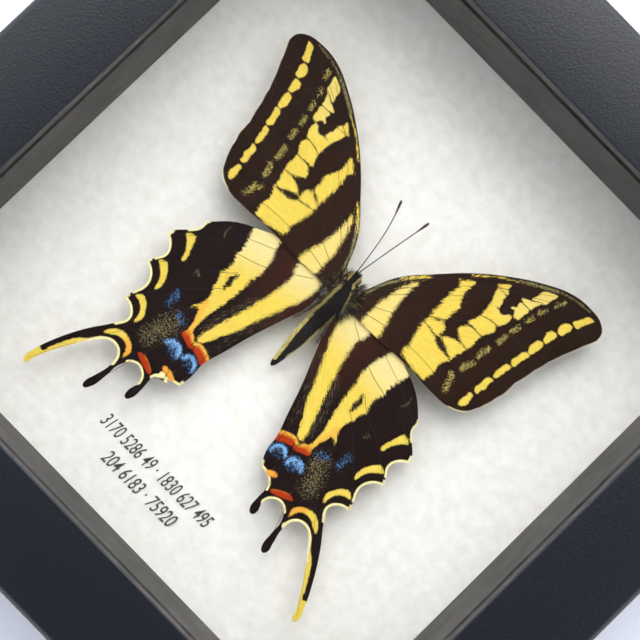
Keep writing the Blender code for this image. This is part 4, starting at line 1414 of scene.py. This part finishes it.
# ---- markings, in millimetres on the right wings as they lie --------------------------
FOREWING = Wing(
    kind="forewing", hinge=(2.5, 8.0), hinge_left=(-2.22, 8.3), turn_left_deg=3.22, height=15.2,
    scales=WingScales("forewing_scales", "26160c", "2d1a10", (2.0, 30.0), gold="b5a65a"),
    yellow=(
        ((9.6, 18.5), (8.5, 17.0), (8.0, 16.0), (7.6, 14.0), (7.3, 12.0), (6.9, 10.0), (7.0, 8.0),
         (7.0, 6.0), (7.4, 4.2), (11.2, 4.2), (11.6, 5.5), (11.1, 8.0), (10.3, 10.0), (9.9, 12.0),
         (9.7, 14.0), (9.5, 16.0), (9.7, 18.2)),
        ((17.6, 27.1), (16.6, 26.4), (15.5, 25.3), (15.3, 24.7), (16.0, 24.2), (15.8, 22.0),
         (15.7, 20.0), (15.9, 18.0), (16.0, 16.2), (16.2, 15.6), (17.4, 16.0), (18.5, 16.8),
         (18.9, 17.7), (18.9, 19.0), (19.1, 20.8), (18.6, 21.8), (18.0, 23.0), (17.6, 24.3),
         (17.8, 25.8)),
        ((16.1, 14.0), (16.3, 15.2), (17.5, 15.9), (18.6, 16.5), (19.7, 16.2), (20.2, 15.0),
         (20.0, 13.6), (18.0, 13.8)),
        ((16.1, 13.8), (18.0, 13.6), (19.8, 13.2), (20.5, 12.7), (21.5, 12.2), (23.0, 12.0),
         (25.4, 12.1), (25.0, 11.0), (24.5, 10.0), (24.8, 8.5), (24.9, 7.0), (24.5, 6.3),
         (24.4, 5.3), (22.0, 5.2), (19.5, 5.6), (17.8, 6.0), (17.0, 7.0), (17.5, 8.0), (17.0, 9.5),
         (16.6, 11.0), (16.3, 12.5)),
        ((31.6, 37.3), (29.0, 35.9), (28.7, 34.4), (28.4, 33.0), (29.8, 33.5), (31.1, 34.1),
         (31.3, 35.6)),
        ((30.2, 33.5), (28.5, 32.6), (26.9, 31.8), (27.2, 31.25), (29.6, 31.2), (29.8, 32.0)),
        ((27.2, 30.9), (27.3, 29.6), (26.6, 29.0), (26.7, 28.6), (27.6, 28.7), (28.0, 27.9),
         (28.6, 27.5), (29.4, 28.0), (29.5, 29.5), (29.5, 30.9)),
        ((23.3, 32.0), (22.5, 31.4), (21.7, 30.6), (21.3, 30.0), (22.6, 29.85), (24.3, 30.0),
         (23.9, 30.5), (23.4, 31.2)),
        ((21.9, 29.7), (22.0, 28.5), (22.7, 27.2), (22.9, 26.4), (24.2, 26.6), (24.8, 27.0),
         (24.7, 27.8), (24.3, 28.7), (24.2, 29.6), (23.0, 29.8)),
        ((23.0, 26.2), (23.1, 25.0), (23.2, 23.9), (23.4, 23.2), (24.5, 23.6), (26.0, 24.0),
         (27.4, 24.1), (28.0, 25.1), (28.3, 26.3), (28.0, 27.4), (27.3, 27.3), (26.6, 26.6),
         (25.8, 26.3), (25.0, 26.5), (24.3, 26.5)),
        ((23.3, 22.9), (22.9, 21.8), (22.5, 20.7), (22.7, 20.2), (24.5, 20.25), (26.3, 20.2),
         (26.8, 21.0), (27.5, 22.0), (27.6, 22.9), (27.1, 23.6), (26.0, 23.8), (24.5, 23.5)),
        ((22.0, 18.1), (22.8, 19.4), (24.0, 19.9), (26.3, 20.0), (26.3, 18.8), (26.5, 17.8),
         (26.4, 16.5), (26.0, 16.1), (24.5, 16.2), (23.0, 16.9), (22.0, 17.8)),
        ((20.8, 14.2), (22.0, 15.2), (24.0, 15.9), (26.0, 16.0), (26.1, 15.2), (25.6, 14.0),
         (25.5, 12.2), (25.2, 12.1), (23.0, 13.2), (21.0, 14.0)),
        ((40.4, 39.0), (39.4, 38.9), (38.9, 38.4), (38.0, 36.6), (37.6, 35.7), (38.3, 35.3),
         (39.2, 35.4), (39.4, 36.2), (40.0, 37.5), (40.6, 38.8)),
        ((37.3, 34.9), (38.2, 34.9), (38.5, 34.2), (38.2, 33.0), (38.0, 32.0), (37.0, 32.0),
         (36.4, 32.8), (36.5, 34.0)),
        ((36.0, 31.5), (37.2, 31.5), (37.4, 30.6), (37.1, 29.5), (36.9, 28.6), (36.1, 28.6),
         (35.7, 29.5), (35.4, 30.3), (35.6, 31.0)),
        ((35.8, 28.2), (36.6, 28.1), (36.8, 27.0), (36.5, 25.5), (36.2, 24.8), (35.5, 24.8),
         (34.9, 25.8), (35.0, 26.8), (35.2, 27.8)),
        ((35.2, 24.4), (36.3, 24.3), (36.0, 23.0), (35.8, 21.8), (35.7, 20.5), (34.9, 20.5),
         (34.3, 21.3), (34.6, 22.5), (34.7, 23.6)),
        ((34.3, 19.9), (35.4, 19.9), (35.1, 18.6), (35.0, 17.5), (34.6, 16.1), (34.1, 16.0),
         (33.7, 17.2), (33.9, 18.3), (33.9, 19.2)),
        ((33.6, 15.3), (34.7, 15.4), (34.5, 14.4), (34.8, 13.0), (34.3, 12.2), (34.3, 11.2),
         (33.5, 11.3), (33.0, 12.0), (33.3, 13.2), (33.2, 14.5)),
        ((33.0, 10.3), (34.0, 10.4), (34.1, 9.5), (34.4, 8.6), (34.1, 7.5), (33.5, 6.9),
         (32.9, 7.2), (32.8, 8.5), (33.0, 9.5))),
    dark_in_yellow=(),
    red=(),
    rim=(Stroke(((16.2, 27.6), (20.0, 31.0), (23.8, 33.5)), 0.1),
         Stroke(((6.6, 16.6), (8.4, 18.9), (10.4, 21.2)), 0.2)),
    cream=(),
    edging=(Stroke(((42.4, 37.6), (42.6, 35.0), (41.6, 32.0), (40.7, 28.6), (39.8, 24.8),
                    (38.9, 20.8), (38.2, 16.0), (37.2, 11.2), (35.4, 6.8), (33.0, 5.0)), 0.13),),
    soft={
        Layer.PALE: (Stroke(((8.5, 15.0), (8.5, 6.0)), 3.0, 0.35, 0.8),
                     Stroke(((31.0, 36.0), (26.0, 29.0)), 2.5, 0.25, 0.8)),
        Layer.GOLD: (Stroke(((33.4, 37.2), (32.9, 35.6)), 0.5, 0.5, 0.9),
                     Stroke(((31.9, 33.3), (31.5, 32.2)), 0.5, 0.5, 0.9),
                     Stroke(((31.2, 30.3), (30.9, 29.0)), 0.5, 0.55, 0.9),
                     Stroke(((30.5, 26.8), (30.2, 25.4)), 0.5, 0.6, 0.9),
                     Stroke(((30.0, 23.6), (29.9, 21.8)), 0.52, 0.6, 0.9),
                     Stroke(((29.4, 19.4), (29.0, 18.0), (29.0, 16.8)), 0.55, 0.6, 0.9),
                     Stroke(((29.2, 14.9), (28.6, 13.8), (28.5, 12.5)), 0.55, 0.6, 0.9),
                     Stroke(((27.6, 10.2), (28.3, 9.5), (28.6, 8.0), (29.2, 7.0)), 0.6, 0.55, 0.9)),
        Layer.HAIR: (Stroke(((3.0, 6.5), (5.0, 9.5), (6.0, 14.0)), 2.6, 0.2, 0.8),
                     Stroke(((3.0, 4.5), (7.0, 4.5)), 1.0, 0.4, 0.8)),
        Layer.OLIVE: (Stroke(((24.0, 33.8), (27.5, 36.0), (31.0, 38.0)), 0.35, 0.9),
                      Stroke(((31.0, 38.0), (34.5, 39.2), (38.5, 39.75)), 0.22, 0.8),
                      Stroke(((3.4, 6.4), (3.7, 9.4), (4.6, 12.6), (6.4, 16.0)), 0.3, 1.1))},
    veins=(
        ((3.0, 9.5), (8.0, 17.3), (14.0, 24.6), (20.0, 30.2), (25.0, 33.9)),
        ((3.2, 8.8), (9.0, 16.5), (15.0, 23.2), (21.0, 28.9), (27.0, 33.6), (31.0, 36.6)),
        ((21.5, 29.8), (26.0, 32.0), (31.0, 35.0), (38.0, 38.5)),
        ((3.2, 8.0), (10.0, 15.5), (16.0, 21.5), (21.5, 26.5)),
        ((3.2, 6.5), (7.0, 8.6), (10.0, 10.3), (13.0, 13.0), (16.0, 15.4), (18.8, 17.0),
         (20.3, 18.5)),
        ((20.5, 18.5), (22.5, 21.0), (23.2, 24.0), (22.5, 27.0), (21.6, 29.8)),
        ((28.4, 32.7), (31.0, 34.1), (38.2, 35.1), (43.0, 35.6)),
        ((27.0, 31.0), (29.6, 31.1), (37.2, 31.8), (42.0, 32.0)),
        ((27.8, 27.6), (36.4, 28.4), (40.6, 28.3)),
        ((23.3, 23.1), (27.6, 24.1), (35.7, 24.6), (39.8, 24.8)),
        ((22.5, 20.1), (26.3, 20.1), (35.0, 20.2), (38.9, 20.8)),
        ((22.0, 17.5), (26.0, 16.0), (34.3, 15.7), (38.2, 16.0)),
        ((20.4, 14.5), (25.4, 12.1), (33.8, 10.8), (37.2, 11.2)),
        ((14.0, 13.9), (16.0, 13.9), (20.0, 13.2), (24.0, 12.0)),
        ((6.8, 6.3), (11.5, 7.4), (17.0, 8.0), (25.0, 7.9), (33.0, 6.0))),
    scallops=((42.2, 33.8), (41.2, 30.2), (40.2, 26.6), (39.3, 22.8), (38.5, 18.4), (37.8, 13.6),
              (36.5, 8.6)))

HINDWING = Wing(
    kind="hindwing", hinge=(2.5, 3.0), hinge_left=(-2.66, 3.34), turn_left_deg=5.69, height=14.6,
    scales=WingScales("hindwing_scales", "1c110e", "361b11", (9.0, 19.0)),
    yellow=(
        ((4.0, 3.8), (8.0, 5.0), (10.4, 6.0), (10.1, 3.0), (9.6, 1.5), (9.5, 0.0), (9.9, -2.0),
         (10.5, -4.5), (11.3, -7.0), (12.0, -9.2), (13.0, -12.0), (14.2, -15.0), (15.2, -17.5),
         (16.0, -19.7), (16.2, -21.2), (15.6, -21.5), (14.8, -21.2), (14.3, -20.5),
         (12.9, -18.0), (11.0, -15.0), (9.8, -12.0), (8.7, -9.5), (7.4, -7.0), (6.0, -4.0),
         (5.0, -2.0), (4.3, 0.0), (3.9, 2.0)),
        ((15.8, 6.5), (21.9, 4.5), (21.9, 3.5), (21.5, 1.5), (21.1, 0.0), (20.9, -1.5),
         (21.2, -2.6), (20.7, -4.0), (20.6, -6.0), (20.9, -7.0), (21.3, -7.7), (20.8, -9.0),
         (20.5, -11.0), (20.0, -12.3), (19.9, -14.0), (20.5, -15.5), (21.5, -17.2),
         (20.2, -16.2), (19.6, -17.3), (19.0, -19.0), (18.9, -20.5), (18.7, -21.3),
         (18.1, -21.0), (18.0, -20.2), (17.9, -18.5), (17.7, -16.5), (17.2, -14.5),
         (16.6, -12.0), (16.0, -9.5), (15.7, -7.5), (15.4, -5.0), (14.8, -3.0), (14.8, -1.0),
         (15.0, 1.0), (15.6, 3.0), (16.0, 5.0)),
        ((30.0, -5.4), (31.2, -5.6), (31.9, -6.2), (31.0, -7.0), (30.0, -8.3), (29.4, -9.8),
         (29.2, -11.0), (28.6, -10.9), (28.5, -9.8), (29.0, -8.0), (29.5, -6.3)),
        ((31.1, -13.2), (31.8, -13.4), (32.6, -14.0), (31.6, -14.8), (30.3, -16.2),
         (29.8, -17.5), (29.5, -18.9), (28.9, -18.6), (28.8, -17.0), (29.3, -15.4),
         (30.2, -14.0)),
        ((30.4, -21.5), (31.1, -21.9), (31.7, -22.5), (30.0, -23.1), (28.9, -24.2),
         (28.5, -25.5), (28.4, -26.9), (27.8, -26.4), (27.4, -25.2), (27.9, -23.8),
         (28.7, -22.5), (29.6, -21.8)),
        ((31.7, -32.5), (30.8, -31.0), (29.6, -30.1), (28.3, -29.8), (26.8, -30.2),
         (25.5, -31.0), (24.8, -32.2), (25.0, -33.4), (25.4, -34.1), (25.7, -32.8),
         (26.4, -31.6), (27.6, -31.1), (29.0, -31.2), (30.3, -31.9)),
        ((30.2, -33.7), (31.6, -34.3), (33.5, -35.7), (35.3, -37.2), (37.0, -39.7),
         (38.4, -42.1), (39.3, -43.7), (40.8, -43.6), (43.5, -47.0), (43.0, -51.0),
         (40.0, -51.0), (37.0, -45.0), (35.0, -41.0), (33.0, -38.0), (31.0, -36.0),
         (29.6, -35.0))),
    dark_in_yellow=(
        ((18.0, -5.6), (19.0, -6.6), (19.3, -7.4), (19.2, -9.0), (18.9, -10.1), (18.5, -10.2),
         (18.2, -8.8), (18.1, -7.2)),),
    red=(
        ((11.4, -24.6), (11.6, -23.4), (13.2, -22.6), (14.9, -22.2), (15.4, -22.9),
         (15.2, -23.7), (13.8, -24.1), (12.2, -25.1)),
        ((15.6, -23.2), (16.7, -22.3), (18.3, -20.9), (19.0, -21.4), (19.3, -22.5),
         (17.4, -23.3), (16.3, -23.8)),
        ((18.9, -32.6), (20.2, -31.6), (21.9, -30.8), (23.1, -30.8), (23.5, -31.3),
         (22.1, -32.1), (20.2, -32.9), (19.0, -33.2)),
        ((15.3, -30.6), (16.9, -29.6), (17.9, -30.0), (17.3, -30.8), (16.0, -31.2))),
    rim=(Stroke(((11.3, -23.4), (12.9, -22.4), (14.9, -21.9), (15.8, -22.4), (17.2, -21.6),
                 (18.2, -20.5), (18.3, -19.0)), 0.28),),
    cream=(),
    edging=(Stroke(((30.6, -1.5), (30.3, -3.0), (31.2, -4.9)), 0.3),
            Stroke(((34.6, -8.3), (33.1, -10.3), (32.4, -11.9), (32.9, -13.4)), 0.42),
            Stroke(((34.4, -15.6), (32.2, -17.4), (31.3, -19.4), (31.9, -21.6)), 0.42),
            Stroke(((33.2, -24.1), (30.5, -25.1), (29.7, -26.8), (30.8, -28.8)), 0.45),
            Stroke(((26.5, -35.6), (26.7, -34.8), (27.5, -33.6), (29.7, -33.2), (31.9, -34.4),
                    (34.0, -37.0)), 0.5),
            Stroke(((20.1, -35.3), (20.4, -34.7), (21.5, -33.5), (23.5, -33.4)), 0.42),
            Stroke(((13.8, -30.6), (15.2, -30.7), (16.9, -31.3), (17.8, -32.6)), 0.42)),
    soft={
        Layer.PALE: (Stroke(((7.0, 4.0), (13.0, 3.5), (20.0, 2.5)), 5.0, 0.7, 0.9),),
        Layer.ORANGE: (Stroke(((19.8, -14.5), (19.4, -17.5), (18.5, -21.0)), 0.8, 0.7, 0.8),
                       Stroke(((24.9, -33.4), (25.3, -32.0), (26.6, -30.7)), 0.8, 0.9, 0.8),
                       Stroke(((15.0, -30.6), (17.0, -30.1)), 0.8),
                       Stroke(((11.4, -23.3), (13.0, -22.4), (14.9, -21.9), (15.8, -22.4),
                               (17.2, -21.6), (18.2, -20.5)), 0.42, 0.85),
                       Stroke(((19.0, -32.2), (20.2, -31.3), (21.9, -30.6)), 0.3, 0.6)),
        Layer.GOLD: (Stroke(((21.9, -21.6), (23.0, -24.0), (24.0, -26.8)), 2.0, 0.42, 0.9),
                     Stroke(((24.8, -11.0),), 0.9, 0.25)),
        Layer.HAIR: (Stroke(((6.0, -6.0), (9.0, -13.0), (12.0, -20.5)), 1.3, 0.35, 0.8),
                     Stroke(((12.0, -7.0), (14.6, -13.0), (16.6, -19.5)), 0.9, 0.45, 0.8),
                     Stroke(((25.6, 0.8), (25.9, -0.5), (25.4, -1.8)), 0.25, 0.8)),
        Layer.BLUE: (Stroke(((12.9, -27.1), (13.0, -26.0), (13.5, -25.4), (14.4, -25.0),
                             (15.3, -25.2), (15.9, -26.0)), 0.52, 1.0, 0.9),
                     Stroke(((17.2, -26.6), (17.2, -25.6), (17.9, -24.9), (19.0, -24.7),
                             (20.0, -25.0), (20.5, -25.8)), 0.55, 1.0, 0.9),
                     Stroke(((18.0, -25.6), (19.6, -25.5)), 0.8, 0.8, 0.9),
                     Stroke(((17.6, -26.8), (18.8, -26.4)), 1.0, 0.4, 0.9),
                     Stroke(((13.9, -26.0), (15.0, -25.9)), 0.6, 0.5, 0.9),
                     Stroke(((13.8, -27.0), (15.0, -26.8)), 0.8, 0.3, 0.9),
                     Stroke(((25.1, -19.6), (25.2, -18.0), (25.3, -16.8)), 0.9, 0.45, 0.9),
                     Stroke(((20.6, -20.7), (22.0, -20.0)), 0.8, 0.5, 0.9))},
    veins=(
        ((5.0, 5.0), (14.0, 3.5), (22.0, 1.0), (30.0, -2.5)),
        ((6.0, 3.5), (15.0, -1.0), (21.2, -2.6), (28.0, -4.0), (34.0, -8.5)),
        ((18.5, -5.5), (21.3, -7.7), (28.0, -11.0), (34.0, -15.5)),
        ((18.9, -10.1), (20.6, -11.5), (27.0, -17.0), (32.8, -24.0)),
        ((21.3, -17.0), (23.3, -21.4), (25.5, -26.0), (31.0, -32.5), (41.0, -47.0)),
        ((19.4, -21.0), (20.2, -24.4), (21.0, -27.0), (23.5, -33.0), (26.5, -42.0)),
        ((14.0, -9.0), (15.9, -20.0), (16.6, -26.0), (17.5, -31.5), (19.3, -38.5)),
        ((4.0, -1.0), (8.5, -11.0), (12.0, -19.5), (12.8, -27.0), (14.0, -30.5))),
    sways=(Sway(27.6, 50.0, -33.0, 15.0, (-1.1, 0.6)), Sway(22.7, 27.6, -35.0, 8.0, (0.9, -0.8)),
           Sway(17.7, 22.7, -33.0, 6.0, (0.1, -0.8)), Sway(0.0, 17.7, -24.0, 6.8, (-1.2, -0.2))))


# ---- studio --------------------------------------------------------------------------
@dataclass
class Studio:
    """A pale table, one large soft lamp and a dim room, with the camera over the frame."""

    eye: tuple[float, float, float] = (2.375, -13.362, 274.312)
    turn_deg: tuple[float, float, float] = (2.0757, -1.6805, 45.8371)
    lens: float = 70.80
    lamp_way: tuple[float, float, float] = (-0.11, 0.63, 0.77)
    lamp_distance: float = 0.95
    lamp_size: float = 0.54
    lamp_watts: float = 1.22
    window_way: tuple[float, float, float] = (-0.30, 0.50, 0.81)
    dark_way: tuple[float, float, float] = (0.17, -0.20, 0.965)
    table: str = "d6dae2"

    def room(self) -> None:
        """Light the room evenly from the sides, and leave it dark straight above."""
        world = bpy.data.worlds.new("room")
        bpy.context.scene.world = world
        world.use_nodes = True
        tree = world.node_tree
        way = add_node(tree, "ShaderNodeTexCoord").outputs["Generated"]
        over = add_node(tree, "ShaderNodeVectorMath", {0: way, 1: self.dark_way},
                        operation="DOT_PRODUCT").outputs["Value"]
        zenith = add_node(tree, "ShaderNodeMapRange", {"Value": over, "From Min": 0.72,
                          "From Max": 0.81, "To Min": 1.0, "To Max": 0.02})
        aim = add_node(tree, "ShaderNodeVectorMath", {0: way, 1: self.window_way},
                       operation="DOT_PRODUCT").outputs["Value"]
        window = add_node(tree, "ShaderNodeMapRange", {"Value": aim, "From Min": 0.78,
                          "From Max": 0.97, "To Min": 2.45, "To Max": 6.2})
        level = add_node(tree, "ShaderNodeMath", {0: window.outputs["Result"],
                         1: zenith.outputs["Result"]}, operation="MULTIPLY")
        back = tree.nodes["Background"]
        back.inputs["Color"].default_value = linear("f6f7ff")
        tree.links.new(level.outputs["Value"], back.inputs["Strength"])

    def lamp(self) -> None:
        """Hang the one large lamp."""
        light = bpy.data.lights.new("soft_lamp", "AREA")
        light.shape = "DISK"
        light.size = self.lamp_size
        light.energy = self.lamp_watts
        light.color = linear("fffdf6")[:3]
        obj = bpy.data.objects.new("soft_lamp", light)
        bpy.context.scene.collection.objects.link(obj)
        way = Vector(self.lamp_way).normalized()
        obj.location = way * self.lamp_distance
        obj.rotation_euler = way.to_track_quat("Z", "Y").to_euler()

    def camera(self) -> None:
        """Set the camera."""
        lens = bpy.data.cameras.new("camera")
        lens.lens = self.lens
        lens.sensor_width = 36.0
        lens.clip_start = 0.01
        obj = bpy.data.objects.new("camera", lens)
        obj.location = Vector(self.eye) * MM
        obj.rotation_euler = tuple(math.radians(turn) for turn in self.turn_deg)
        bpy.context.scene.collection.objects.link(obj)
        bpy.context.scene.camera = obj

    def dress(self) -> None:
        """Set out the table, the lamp, the room and the camera."""
        top, _, _ = new_material("painted_table", Base_Color=linear(self.table), Roughness=0.7)
        bm = bmesh.new()
        bmesh.ops.create_grid(bm, x_segments=1, y_segments=1, size=3.0)
        bmesh.ops.translate(bm, verts=bm.verts[:], vec=(0.0, 0.0, -0.2 * MM))
        make_piece("table", bm, top, smooth_deg=None)
        self.room()
        self.lamp()
        self.camera()
        bpy.context.scene.view_settings.view_transform = "Standard"


def main() -> None:
    """Build every piece and report it."""
    logging.basicConfig(level=logging.INFO, format="%(name)s: %(message)s")
    Moulding().dress()
    Ground().dress()
    Label().build()
    Insect().dress()
    Studio().dress()


if __name__ == "__main__":
    main()
